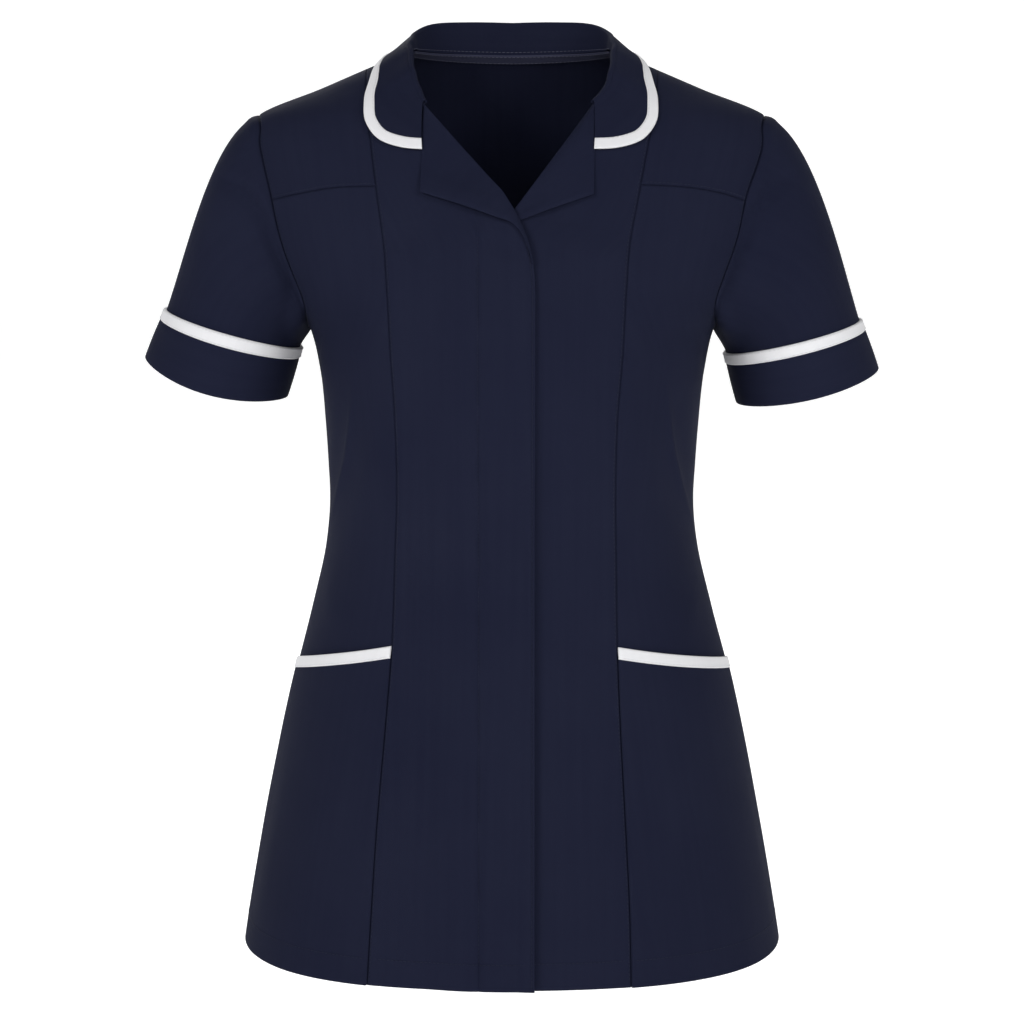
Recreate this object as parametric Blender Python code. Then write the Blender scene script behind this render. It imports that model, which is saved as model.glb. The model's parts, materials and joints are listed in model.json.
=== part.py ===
"""Short-sleeved medical tunic, filled out as if worn.

Every cloth piece is a thin wall, cut along its own seams out of one smooth figure surface.
The tables hold real sizes in millimetres and angles in degrees, and MM turns the finished
points into metres. +X is the wearer's left, the front faces -Y, and z = 0 is the level of the
two side neck points, so the wearer's neck fills the origin.
"""
import math

import bpy
import numpy as np

MM = 0.001

# Cloth thickness, and the small distances that keep neighbouring pieces apart
CLOTH = 1.2
HEM_CLOTH = 2.4
BINDING = 1.8
TAPE = 1.0
SEAM_INSET = 0.2
LAYER_GAP = 0.3

# The figure: level sections, each an ellipse made a little squarer
SQUARENESS = 0.2
SETTLE_ROUNDS = 14
SETTLE_STEP = 8
FIGURE_COLUMNS = ("height", "half_width", "front_depth", "back_depth")
FIGURE_ROWS = (
    (-730, 217, 153, 150),
    (-694, 212, 152, 147),
    (-628, 201, 147, 142),
    (-562, 188, 140, 134),
    (-497, 174, 131, 122),
    (-432, 157, 121, 104),
    (-383, 146, 118, 91),
    (-351, 143, 121, 88),
    (-320, 144, 127, 92),
    (-288, 146, 133, 98),
    (-248, 150, 137, 106),
    (-215, 157, 135, 110),
    (-190, 168, 131, 112),
    (-150, 190, 121, 114),
    (-112, 203, 107, 112),
    (-80, 206, 93, 107),
    (-62, 203, 84, 102),
    (-50, 195, 76, 98),
    (-30, 147, 61, 88),
    (-15, 112, 50, 78),
    (-5, 88, 37, 70),
    (0, 76, 30, 66),
    (12, 48, 16, 58),
)

# Levels that the pieces share
HEM = -705
HEM_BAND = 20
HEM_BAND_STEP = 1.2
HEM_BAND_TOP = HEM + HEM_BAND + HEM_BAND_STEP / 2
SHOULDER_TIP = -50
SHOULDER_PRINCESS = -15
ARMPIT = -215

# Princess seams: how far each one lies from the centre line, on the wearer's right and left
PRINCESS_COLUMNS = ("height", "right", "left")
PRINCESS_ROWS = (
    (HEM, 111, 91),
    (-655, 108, 90),
    (-570, 102, 86),
    (-515, 97, 83),
    (-440, 91, 80),
    (-380, 89, 79),
    (-335, 87, 78),
    (-270, 88, 79),
    (-220, 91, 83),
    (-180, 93, 85),
    (-142, 96, 88),
    (-100, 102, 96),
    (-70, 106, 102),
    (SHOULDER_PRINCESS, 112, 112),
)

# Front edges: how far each front runs past the centre line, below the crossing of the reveres
EDGE_COLUMNS = ("height", "right", "left")
EDGE_ROWS = (
    (HEM, 17, 28),
    (-400, 17, 28),
    (-200, 17, 28),
    (-174, 17, 27),
    (-155, 15.5, 22.7),
    (-145, 13.4, 18.5),
    (-135, 10, 13),
    (-125, 4.4, 6.5),
)
CROSSING_HEIGHT = -119
CROSSING_PAST_CENTRE = {"right": 1, "left": -1}

# Neck seam as angle and height, from the centre back over the side neck point to the revere
NECK_ROWS = (
    (180, -5),
    (157, -4.2),
    (135, -2.8),
    (112, -1),
    (90, 0),
    (59, -5),
    (37.8, -18),
    (28.3, -30),
)
NECK_SIDE_ROW = 4
NECK_END_HEIGHT = -40
NECK_END_ANGLE = {"right": 22.5, "left": 21.1}

# Armhole, from the shoulder tip down to the armpit, in front and behind
ARMHOLE_COLUMNS = ("height", "front_right", "front_left", "back")
ARMHOLE_ROWS = (
    (SHOULDER_TIP, 90, 90, 90),
    (-54, 76, 75, 103),
    (-77, 68, 67, 109),
    (-105, 64, 61, 111),
    (-140, 65, 61.5, 110),
    (-170, 68, 63.5, 108),
    (-199, 75, 71, 103),
    (ARMPIT, 90, 90, 90),
)
FRONT_YOKE_END = -112
BACK_YOKE_END = -105

# Yoke seams: level at the princess seams, then angle and height between the ends
FRONT_YOKE_START = {"right": -99.5, "left": -98.5}
FRONT_YOKE_MIDDLE = ((40, -101), (51, -106))
BACK_YOKE_MIDDLE = ((135, -100), (158, -98.5), (180, -98))

# Right front over left: the upper front rises over the lower one
OVERLAP_LIFT = 3.2
OVERLAP_RISE_ACROSS = (70, 34)
OVERLAP_RISE_DOWN = (-85, -110)

# Grid of each piece: cells across and down
CENTRE_COLUMNS = 6
SIDE_COLUMNS = 5
YOKE_ROWS = 6
ARMHOLE_ROWS_BELOW_YOKE = 6
SIDE_SEAM_ROWS = 12
NECKLINE_ROWS = 4
ROLL_ROWS = 5
BACK_COLUMNS = 20
PRINCESS_ROWS_BELOW_YOKE = ARMHOLE_ROWS_BELOW_YOKE + SIDE_SEAM_ROWS
EDGE_CELLS = YOKE_ROWS + PRINCESS_ROWS_BELOW_YOKE - NECKLINE_ROWS - ROLL_ROWS

# Reveres: corner of each as distance from the centre and height, and where its fold ends
REVERE = {
    "right": {"corner": (68, -104.5), "fold_end": -131.5},
    "left": {"corner": (60.6, -106), "fold_end": -130},
}
REVERE_TOP = -42
REVERE_TOP_WIDTH = 1.5
REVERE_SWELL = 1.6
REVERE_SWELL_FROM = (12, 28)
REVERE_COLUMNS = 6
REVERE_ROWS = 9

# A fold round the raw edge of the cloth beneath: outer and inner skin, along and out from it
FOLD_COLUMNS = ("outer_along", "outer_out", "inner_along", "inner_out")
FOLD_ROWS = (
    (-1.5, -1.2, -0.3, -1.2),
    (-1.5, 0.2, -0.3, -0.3),
    (-1.0, 1.2, -0.25, 0.2),
    (0.6, 1.5, 0.6, 0.3),
)

# Pockets: the bound mouth slopes down from the princess seam to the side seam
POCKET_MOUTH_INNER = -447
POCKET_MOUTH_OUTER = -477
POCKET_BINDING_WIDTH = 9.5
POCKET_GAP = 0.5
POCKET_EASE = 1.0
POCKET_EASE_ROWS = 2
POCKET_LEAST_ROW = 0.12

# Sleeves: the cuff's hem seen from the front, as distance from the centre and height
SLEEVE = {
    "right": {"outer": (288, -238), "inner": (176, -270), "front_drop": 8, "lean": 20},
    "left": {"outer": (288, -247), "inner": (176, -275), "front_drop": 4, "lean": 17.5},
}
SLEEVE_HALF_DEPTH = 56
SLEEVE_TAPER = 2.5
CUFF_DEPTH = 42
CUFF_STRIP = 9
CUFF_PROUD = 1.8
CUFF_FOLD = 1.8
HEAD_DROP_ANGLE = 15
HEAD_FULLNESS = 0.66
UNDERARM_FULLNESS = 0.9
SLEEVE_HEAD_ROWS = 8
CUFF_ROWS = 3

# Collar: stand height above the neck seam, and where the outer edge of its fall lies. The
# ends differ from side to side, so their angle and edge_x come from the values by side
COLLAR_COLUMNS = ("neck_angle", "neck_height", "stand", "edge_x", "edge_y", "edge_z")
COLLAR_ROWS = (
    (180, -5, 25, 0, 97, -27),
    (157, -4.2, 24.8, 40, 92, -27),
    (135, -2.8, 22.2, 73, 74, -24),
    (112, -1, 14, 91, 38, -17),
    (90, 0, 7, 97.5, 0, -12),
    (59, -5, 4, 106, -36, -21),
    (37.8, -18, 3.4, 110.5, -60, -37),
    (32.6, -24, 3.2, 109, -74, -51),
    (28.3, -30, 3.1, 99, -85, -63.5),
    (25, -35, 3.0, 84, -90, -69),
    (22.5, -40, 3.0, 66.5, -92, -71),
)
COLLAR_REACH = {"right": 1.015, "left": 1.0}
COLLAR_END_X = {"right": 68.0, "left": 62.8}
EDGE_X = COLLAR_COLUMNS.index("edge_x")
COLLAR_FOLD_RADIUS = 1.6
COLLAR_FOLD_POINTS = 5
COLLAR_LEAN = 0.12
COLLAR_BASE_GAP = 0.7
COLLAR_LIFT = 2.2
COLLAR_BOW = 1.0
COLLAR_BOW_WITH_STAND = 0.12
COLLAR_STATIONS = 18
COLLAR_FALL_ROWS = 5
COLLAR_BINDING_WIDTH = 9
COLLAR_END_CLEARANCE = 0.4

# Neck tape on the inside of the back yoke
TAPE_WIDTH = 8
TAPE_END_ANGLE = 97
TAPE_CELLS = 20

# Colours, roughness and metallic value
CLOTH_FINISH = {"name": "navy_cloth", "colour": (0.013, 0.0144, 0.0343, 1), "roughness": 0.85}
TRIM_FINISH = {"name": "white_binding", "colour": (0.82, 0.82, 0.84, 1), "roughness": 0.8}
SMOOTH_LIMIT = math.radians(35)

SIDES = {"right": -1, "left": 1}


def column(columns, rows, name):
    return np.array([row[columns.index(name)] for row in rows], float)


def smooth_curve(knots, values):
    """A cubic through the values, whose slope at a knot blends the runs on either side."""
    knots = np.asarray(knots, float)
    values = np.asarray(values, float).reshape(len(knots), -1)
    steps = np.diff(knots)[:, None]
    runs = np.diff(values, axis=0) / steps
    slopes = np.empty_like(values)
    slopes[1:-1] = (steps[1:] * runs[:-1] + steps[:-1] * runs[1:]) / (steps[1:] + steps[:-1])
    slopes[0] = 1.5 * runs[0] - 0.5 * slopes[1]
    slopes[-1] = 1.5 * runs[-1] - 0.5 * slopes[-2]

    def value_at(where):
        where = np.atleast_1d(np.asarray(where, float))
        cell = np.clip(np.searchsorted(knots, where) - 1, 0, len(steps) - 1)
        step = steps[cell]
        share = (where - knots[cell])[:, None] / step
        rest = 1 - share
        start = rest ** 2 * ((1 + 2 * share) * values[cell] + share * step * slopes[cell])
        end = share ** 2 * ((1 + 2 * rest) * values[cell + 1] - rest * step * slopes[cell + 1])
        return start + end

    return value_at


FIGURE_AT = smooth_curve(
    column(FIGURE_COLUMNS, FIGURE_ROWS, "height"),
    [row[1:] for row in FIGURE_ROWS],
)


def figure(angle, height):
    """Point of the figure surface; angle 0 is the centre front and 90 the wearer's side."""
    angle, height = np.broadcast_arrays(np.asarray(angle, float), np.asarray(height, float))
    turn = np.radians(angle.ravel())
    sections = FIGURE_AT(height.ravel())
    depth = np.where(np.cos(turn) >= 0, sections[:, 1], sections[:, 2])
    fullness = 1 + SQUARENESS * np.sin(turn) ** 2
    points = np.stack(
        [sections[:, 0] * np.sin(turn), -depth * np.cos(turn) * fullness, height.ravel()],
        axis=-1,
    )
    return points.reshape(angle.shape + (3,))


def figure_slopes(angle, height):
    small = 0.05
    across = (figure(angle + small, height) - figure(angle - small, height)) / (2 * small)
    upward = (figure(angle, height + small) - figure(angle, height - small)) / (2 * small)
    return across, upward


def unit(vectors):
    return vectors / np.linalg.norm(vectors, axis=-1, keepdims=True)


def figure_normal(angle, height):
    across, upward = figure_slopes(np.asarray(angle, float), np.asarray(height, float))
    return unit(np.cross(across, upward))


def angle_at(x, height):
    """Angle on the front of the figure at a distance x from the centre line."""
    height = np.asarray(height, float)
    half_width = FIGURE_AT(height.ravel())[:, 0].reshape(height.shape)
    return np.degrees(np.arcsin(np.clip(x / half_width, -1, 1)))


def settle(points):
    """Angle and height of the surface point nearest to each point given."""
    lowest, highest = FIGURE_ROWS[0][0] + 1, FIGURE_ROWS[-1][0] - 1
    flat = points.reshape(-1, 3)
    height = np.clip(flat[:, 2], lowest, highest)
    sections = FIGURE_AT(height)
    depth = np.where(flat[:, 1] <= 0, sections[:, 1], sections[:, 2])
    angle = np.degrees(np.arctan2(flat[:, 0] / sections[:, 0], -flat[:, 1] / depth))
    for _ in range(SETTLE_ROUNDS):
        across, upward = figure_slopes(angle, height)
        miss = flat - figure(angle, height)
        aa = np.sum(across * across, axis=1)
        au = np.sum(across * upward, axis=1)
        uu = np.sum(upward * upward, axis=1)
        am = np.sum(across * miss, axis=1)
        um = np.sum(upward * miss, axis=1)
        spread = aa * uu - au * au
        turn = np.clip((uu * am - au * um) / spread, -SETTLE_STEP, SETTLE_STEP)
        climb = np.clip((aa * um - au * am) / spread, -SETTLE_STEP, SETTLE_STEP)
        angle = angle + turn
        height = np.clip(height + climb, lowest, highest)
    return angle.reshape(points.shape[:-1]), height.reshape(points.shape[:-1])


def spaced(path, cells):
    """Stations at even distances over the surface, along a path of angles and heights."""
    path = np.asarray(path, float)
    steps = np.linalg.norm(np.diff(figure(path[:, 0], path[:, 1]), axis=0), axis=1)
    travelled = np.concatenate([[0], np.cumsum(steps)])
    wanted = np.linspace(0, travelled[-1], cells + 1)
    return np.stack([np.interp(wanted, travelled, path[:, k]) for k in (0, 1)], axis=-1)


def joined(*runs):
    """One run of stations from several, each starting where the last one ends."""
    return np.vstack([runs[0]] + [run[1:] for run in runs[1:]])


def curve_through(points, samples=120):
    """A fine path through a few points, smooth in their running length."""
    points = np.asarray(points, float)
    knots = np.concatenate([[0], np.cumsum(np.linalg.norm(np.diff(points, axis=0), axis=1))])
    return smooth_curve(knots, points)(np.linspace(0, knots[-1], samples))


def hem_run(stations):
    """Adds the two rows of the turned-up hem below stations that end at its upper edge."""
    last = stations[-1]
    extra = [(last[0], HEM + HEM_BAND - HEM_BAND_STEP / 2), (last[0], HEM)]
    return np.vstack([stations, extra])


# Seams, each as stations of angle and height on the wearer's left half


def shoulder_seam():
    """From the side neck point over the princess seam to the shoulder tip."""
    inner = np.stack([np.full(60, 90.0), np.linspace(0, SHOULDER_PRINCESS, 60)], axis=-1)
    outer = np.stack([np.full(60, 90.0), np.linspace(SHOULDER_PRINCESS, SHOULDER_TIP, 60)], axis=-1)
    return spaced(inner, CENTRE_COLUMNS), spaced(outer, SIDE_COLUMNS)


def princess_path(side):
    x_at = smooth_curve(
        column(PRINCESS_COLUMNS, PRINCESS_ROWS, "height"),
        column(PRINCESS_COLUMNS, PRINCESS_ROWS, side),
    )

    def path(top, bottom):
        share = np.linspace(0, 1, 200) ** 2
        height = top + (bottom - top) * share
        return np.stack([angle_at(x_at(height)[:, 0], height), height], axis=-1)

    return path


def princess_seam(side):
    path = princess_path(side)
    yoke_height = FRONT_YOKE_START[side]
    upper = path(SHOULDER_PRINCESS, yoke_height)
    upper[0, 0] = 90
    lower = spaced(path(yoke_height, HEM_BAND_TOP), PRINCESS_ROWS_BELOW_YOKE)
    hem = hem_run(lower)
    hem[-2:] = [path(height, height - 1)[0] for height in hem[-2:, 1]]
    return spaced(upper, YOKE_ROWS), hem


def armhole(half):
    """The two runs of half an armhole, above and below the yoke seam, from the shoulder tip."""
    angles = column(ARMHOLE_COLUMNS, ARMHOLE_ROWS, half)
    heights = column(ARMHOLE_COLUMNS, ARMHOLE_ROWS, "height")
    path = curve_through(np.stack([angles, heights], axis=-1), 400)
    end = BACK_YOKE_END if half == "back" else FRONT_YOKE_END
    split = int(np.argmax(path[:, 1] <= end))
    return spaced(path[: split + 1], YOKE_ROWS), spaced(path[split:], ARMHOLE_ROWS_BELOW_YOKE)


def side_seam():
    run = np.stack([np.full(80, 90.0), np.linspace(ARMPIT, HEM_BAND_TOP, 80)], axis=-1)
    return hem_run(spaced(run, SIDE_SEAM_ROWS))


def front_yoke_seam(side):
    start = princess_seam(side)[1][0]
    end = armhole("front_" + side)[1][0]
    return spaced(curve_through([start, *FRONT_YOKE_MIDDLE, end]), SIDE_COLUMNS)


def back_yoke_seam():
    end = armhole("back")[1][0]
    half = [tuple(end), *BACK_YOKE_MIDDLE]
    other = [(360 - angle, height) for angle, height in reversed(half[:-1])]
    return spaced(curve_through(half + other, 240), BACK_COLUMNS)


def front_inner_side(side):
    """Neck seam, roll line and front edge of a centre front, from the side neck point."""
    neck_end = (NECK_END_ANGLE[side], NECK_END_HEIGHT)
    neck = spaced(curve_through([*NECK_ROWS[NECK_SIDE_ROW:], neck_end]), NECKLINE_ROWS)
    top = neck[-1]
    top_x = float(figure(top[0], top[1])[0])
    heights = np.append(column(EDGE_COLUMNS, EDGE_ROWS, "height"), CROSSING_HEIGHT)
    past = np.append(column(EDGE_COLUMNS, EDGE_ROWS, side), CROSSING_PAST_CENTRE[side])
    edge_x = smooth_curve(heights, -past)
    roll_x = np.linspace(top_x, -past[-1], 60)
    roll_z = np.linspace(top[1], CROSSING_HEIGHT, 60)
    turn_z = np.linspace(CROSSING_HEIGHT, heights[-2], 12)
    roll_x = np.append(roll_x, edge_x(turn_z[1:])[:, 0])
    roll_z = np.append(roll_z, turn_z[1:])
    roll = spaced(np.stack([angle_at(roll_x, roll_z), roll_z], axis=-1), ROLL_ROWS)
    edge_z = np.linspace(heights[-2], HEM_BAND_TOP, 300)
    edge = spaced(np.stack([angle_at(edge_x(edge_z)[:, 0], edge_z), edge_z], axis=-1), EDGE_CELLS)
    return joined(neck, roll, hem_run(edge))


def level_run(start, end, cells):
    """Stations at even distances along a level, or nearly level, line."""
    return spaced(np.linspace(start, end, 120), cells)


# Panels and solids


def coons_points(top, bottom, left, right):
    across = np.linspace(0, 1, len(top))[None, :, None]
    down = np.linspace(0, 1, len(left))[:, None, None]
    between_sides = (1 - across) * left[:, None] + across * right[:, None]
    between_ends = (1 - down) * top[None] + down * bottom[None]
    corners = (1 - down) * ((1 - across) * top[0] + across * top[-1]) + down * (
        (1 - across) * bottom[0] + across * bottom[-1]
    )
    return between_sides + between_ends - corners


def panel_grid(top, bottom, left, right):
    """Angles and heights inside four seams, with the seams' own stations on the border."""
    sides = [figure(run[:, 0], run[:, 1]) for run in (top, bottom, left, right)]
    angle, height = settle(coons_points(*sides))
    middle = (top[:, 0].min() + top[:, 0].max()) / 2
    angle = angle + 360 * np.round((middle - angle) / 360)
    for grid, k in ((angle, 0), (height, 1)):
        grid[0], grid[-1] = top[:, k], bottom[:, k]
        grid[:, 0], grid[:, -1] = left[:, k], right[:, k]
    return angle, height


def border(rows, columns):
    """Indices of a grid's border vertices, once round."""
    loop = [(0, c) for c in range(columns - 1)]
    loop += [(r, columns - 1) for r in range(rows - 1)]
    loop += [(rows - 1, c) for c in range(columns - 1, 0, -1)]
    loop += [(r, 0) for r in range(rows - 1, 0, -1)]
    return loop


def inset(skins, normals, amount=SEAM_INSET):
    """Draws the border of both skins in along the surface, to leave the gap at the seams."""
    outer = skins[0]
    rows, columns = outer.shape[:2]
    loop = border(rows, columns)
    ring = np.array([outer[cell] for cell in loop])
    ring_normals = np.array([normals[cell] for cell in loop])
    ahead = unit(np.roll(ring, -1, axis=0) - ring)
    behind = unit(ring - np.roll(ring, 1, axis=0))
    inward = unit(np.cross(ring_normals, ahead + behind))
    facing = np.sum(inward * (outer.mean(axis=(0, 1)) - ring))
    inward = inward * np.sign(facing)
    spread = np.sqrt(np.clip((1 + np.sum(ahead * behind, axis=1)) / 2, 0.3, 1))
    for cell, move in zip(loop, inward * (amount / spread)[:, None]):
        for skin in skins:
            skin[cell] = skin[cell] + move


def grid_normals(points, closed=False):
    """Normals of a grid of points, whose columns may close round into a tube."""
    if closed:
        along = np.roll(points, -1, axis=1) - np.roll(points, 1, axis=1)
    else:
        along = np.gradient(points, axis=1)
    return unit(np.cross(np.gradient(points, axis=0), along))


def finish_material(finish):
    material = bpy.data.materials.get(finish["name"])
    if material is None:
        material = bpy.data.materials.new(finish["name"])
        material.use_nodes = True
        shader = material.node_tree.nodes["Principled BSDF"]
        shader.inputs["Base Color"].default_value = finish["colour"]
        shader.inputs["Roughness"].default_value = finish["roughness"]
        shader.inputs["Metallic"].default_value = 0
        material.diffuse_color = finish["colour"]
    return material


def signed_volume(points, faces):
    total = 0
    for face in faces:
        first = points[face[0]]
        for second, third in zip(face[1:-1], face[2:]):
            total += np.dot(first, np.cross(points[second], points[third]))
    return total / 6


def wall(name, outer, inner, finish, closed=False):
    """One closed solid between an outer and an inner skin of the same grid."""
    rows, columns = outer.shape[:2]
    count = rows * columns
    points = np.vstack([outer.reshape(-1, 3), inner.reshape(-1, 3)])

    def outer_at(r, c):
        return r * columns + c % columns

    def inner_at(r, c):
        return count + outer_at(r, c)

    spans = columns if closed else columns - 1
    faces = []
    for r in range(rows - 1):
        for c in range(spans):
            cell = [(r, c), (r + 1, c), (r + 1, c + 1), (r, c + 1)]
            faces.append([outer_at(*corner) for corner in cell])
            faces.append([inner_at(*corner) for corner in reversed(cell)])
    loops = []
    if closed:
        loops.append([(0, c) for c in range(columns)])
        loops.append([(rows - 1, c) for c in range(columns - 1, -1, -1)])
    else:
        loops.append(border(rows, columns))
    for loop in loops:
        for here, there in zip(loop, loop[1:] + loop[:1]):
            faces.append([outer_at(*here), outer_at(*there), inner_at(*there), inner_at(*here)])
    if signed_volume(points, faces) < 0:
        faces = [face[::-1] for face in faces]
    mesh = bpy.data.meshes.new(name)
    mesh.from_pydata([tuple(point) for point in points * MM], [], faces)
    mesh.shade_smooth()
    mesh.set_sharp_from_angle(angle=SMOOTH_LIMIT)
    mesh.materials.append(finish_material(finish))
    piece = bpy.data.objects.new(name, mesh)
    bpy.context.scene.collection.objects.link(piece)
    return piece


def mirrored(points, side):
    return points * np.array([SIDES.get(side, 1), 1, 1])


def thickness_of(height):
    """The hem is turned up inside, so the cloth is double below its upper edge."""
    return np.where(height < HEM + HEM_BAND, HEM_CLOTH, CLOTH)


def panel(name, grid, side=None, lift=0.0, thickness=None, finish=CLOTH_FINISH):
    """A panel of cloth on the figure, drawn in from its seams."""
    angle, height = grid
    points = figure(angle, height)
    normals = figure_normal(angle, height)
    depth = thickness_of(height) if thickness is None else thickness
    lift = np.broadcast_to(lift, height.shape)[..., None]
    depth = np.broadcast_to(depth, height.shape)[..., None]
    outer = points + normals * lift
    inner = points + normals * (lift - depth)
    inset([outer, inner], normals)
    return wall(name, mirrored(outer, side), mirrored(inner, side), finish)


def ease_between(value, start, end):
    """0 at start, 1 at end, and smooth in between."""
    share = np.clip((value - start) / (end - start), 0, 1)
    return share * share * (3 - 2 * share)


def overlap_lift(x, height, side):
    """How far the upper front stands off the figure, to clear the front beneath it."""
    if side != "right":
        return np.zeros_like(height)
    across = ease_between(x, *OVERLAP_RISE_ACROSS)
    return OVERLAP_LIFT * across * ease_between(height, *OVERLAP_RISE_DOWN)


def make_centre_front(side):
    upper, lower = princess_seam(side)
    outer_side = joined(upper, lower)
    inner_side = front_inner_side(side)
    top = shoulder_seam()[0][::-1]
    hem = level_run(outer_side[-1], inner_side[-1], CENTRE_COLUMNS)
    angle, height = panel_grid(top, hem, outer_side, inner_side)
    x = figure(angle, height)[..., 0]
    panel("front_centre_" + side, (angle, height), side, overlap_lift(x, height, side))


def make_front_yoke(side):
    upper = princess_seam(side)[0]
    arm = armhole("front_" + side)[0]
    grid = panel_grid(shoulder_seam()[1], front_yoke_seam(side), upper, arm)
    panel("front_yoke_" + side, grid, side)


def side_front_grid(side):
    lower = princess_seam(side)[1]
    outer_side = joined(armhole("front_" + side)[1], side_seam())
    hem = level_run(lower[-1], outer_side[-1], SIDE_COLUMNS)
    return panel_grid(front_yoke_seam(side), hem, lower, outer_side)


def make_side_front(side):
    panel("side_front_" + side, side_front_grid(side), side)


def other_half(run):
    """The same run on the wearer's right, with the angle carried on past 180."""
    return np.stack([360 - run[:, 0], run[:, 1]], axis=-1)


def make_back_yoke():
    half = np.array(NECK_ROWS[NECK_SIDE_ROW::-1], float)
    neck = curve_through(joined(half, other_half(half)[::-1]), 240)
    neck = spaced(neck, BACK_COLUMNS + 2 * YOKE_ROWS)
    arm = armhole("back")[0]
    outline = joined(arm, back_yoke_seam(), other_half(arm)[::-1])
    shoulder = joined(*shoulder_seam())
    panel("back_yoke", panel_grid(neck, outline, shoulder, other_half(shoulder)))


def make_back():
    seam = joined(armhole("back")[1], side_seam())
    top = back_yoke_seam()
    hem = level_run(seam[-1], other_half(seam)[-1], BACK_COLUMNS)
    panel("back", panel_grid(top, hem, seam, other_half(seam)))


# Sleeves and cuffs


def cuff_surface(side, up, around):
    """The sleeve's last stretch: up is measured from the cuff's lower edge."""
    spec = SLEEVE[side]
    outer = np.array([spec["outer"][0], 0, spec["outer"][1]], float)
    inner = np.array([spec["inner"][0], 0, spec["inner"][1]], float)
    lean = math.radians(spec["lean"])
    axis = np.array([math.sin(lean), 0, -math.cos(lean)])
    up = np.asarray(up, float)[..., None]
    turn = np.radians(np.asarray(around, float))[..., None]
    share = up / CUFF_DEPTH
    half_width = np.linalg.norm(outer - inner) / 2 - CUFF_PROUD - SLEEVE_TAPER * share
    across = unit(outer - inner)
    front = np.array([0, -1, 0])
    drop = spec["front_drop"] * np.clip(np.sin(turn), 0, 1) ** 2 * (1 - share)
    centre = (outer + inner) / 2
    ring = across * half_width * np.cos(turn) + front * SLEEVE_HALF_DEPTH * np.sin(turn)
    return centre + ring + axis * (drop - up)


def armhole_ring(side):
    """Stations round the whole armhole, from the shoulder tip over the front to the armpit."""
    front = joined(*armhole("front_" + side))
    back = joined(*armhole("back"))
    return np.vstack([front[:-1], back[:0:-1]])


def sleeve_grid(side):
    ring = armhole_ring(side)
    count = len(ring)
    around = np.arange(count) * 360 / count
    seam = figure(ring[:, 0], ring[:, 1])
    normal = figure_normal(ring[:, 0], ring[:, 1])
    tangent = unit(np.roll(seam, -1, axis=0) - np.roll(seam, 1, axis=0))
    off_edge = unit(np.cross(tangent, normal))
    off_edge = off_edge * np.sign(np.sum(off_edge * (seam.mean(axis=0) - seam)))
    spec = SLEEVE[side]
    lean = math.radians(spec["lean"])
    axis = np.array([math.sin(lean), 0, -math.cos(lean)])
    head_drop = math.radians(HEAD_DROP_ANGLE)
    sideways = np.array([math.cos(head_drop), 0, -math.sin(head_drop)])
    towards_top = ((1 + np.cos(np.radians(around))) / 2)[:, None]
    leaving = unit(sideways * towards_top + axis * (1 - towards_top))
    level = np.sum(leaving * off_edge, axis=1)
    rising = np.sum(leaving * normal, axis=1)
    turned_back = (1 - level / np.hypot(level, rising)) / 2
    start = seam + off_edge * SEAM_INSET + normal * (LAYER_GAP * turned_back)[:, None]
    end = cuff_surface(side, np.full(count, CUFF_DEPTH), around)
    span = np.linalg.norm(end - start, axis=1)[:, None]
    rows = []
    for t in np.linspace(0, 1, SLEEVE_HEAD_ROWS + 1):
        rest = 1 - t
        rows.append(
            rest ** 2 * (1 + 2 * t) * start
            + t * rest ** 2 * HEAD_FULLNESS * span * leaving
            + t ** 2 * (1 + 2 * rest) * end
            - rest * t ** 2 * UNDERARM_FULLNESS * span * axis
        )
    for up in np.linspace(CUFF_DEPTH, CUFF_FOLD, CUFF_ROWS + 1)[1:]:
        rows.append(cuff_surface(side, np.full(count, up), around))
    return np.array(rows)


def outward_tube_normals(points):
    normals = grid_normals(points, closed=True)
    middle = points.mean(axis=1, keepdims=True)
    return normals * np.sign(np.sum(normals * (points - middle)))


def make_sleeve(side):
    outer = sleeve_grid(side)
    inner = outer - outward_tube_normals(outer) * CLOTH
    wall("sleeve_" + side, mirrored(outer, side), mirrored(inner, side), CLOTH_FINISH, closed=True)


def cuff_frame(side, count):
    """Points and normals of the sleeve under its cuff, at any height up from the edge."""
    around = np.arange(count) * 360 / count

    def at(up):
        points = np.array([cuff_surface(side, np.full(count, up + d), around) for d in (-1, 0, 1)])
        normals = outward_tube_normals(points)[1]
        return points[1], normals

    return at


def make_cuff(side):
    count = len(armhole_ring(side))
    at = cuff_frame(side, count)
    outer, inner = [], []
    for row in FOLD_ROWS:
        fold = dict(zip(FOLD_COLUMNS, row))
        points, normals = at(CUFF_FOLD + fold["outer_along"])
        outer.append(points + normals * fold["outer_out"])
        points, normals = at(CUFF_FOLD + fold["inner_along"])
        inner.append(points + normals * fold["inner_out"])
    top = CUFF_DEPTH - CUFF_STRIP - LAYER_GAP
    for up in np.linspace(CUFF_FOLD, top, CUFF_ROWS + 1)[1:]:
        points, normals = at(up)
        outer.append(points + normals * (LAYER_GAP + CLOTH))
        inner.append(points + normals * LAYER_GAP)
    skins = [mirrored(np.array(skin), side) for skin in (outer, inner)]
    wall("cuff_" + side, *skins, CLOTH_FINISH, closed=True)
    strips = [at(up) for up in (CUFF_DEPTH - CUFF_STRIP, CUFF_DEPTH)]
    skins = []
    for lift in (LAYER_GAP + BINDING, LAYER_GAP):
        skin = np.array([points + normals * lift for points, normals in strips])
        skins.append(mirrored(skin, side))
    wall("cuff_trim_" + side, *skins, TRIM_FINISH, closed=True)


# Pockets


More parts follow.
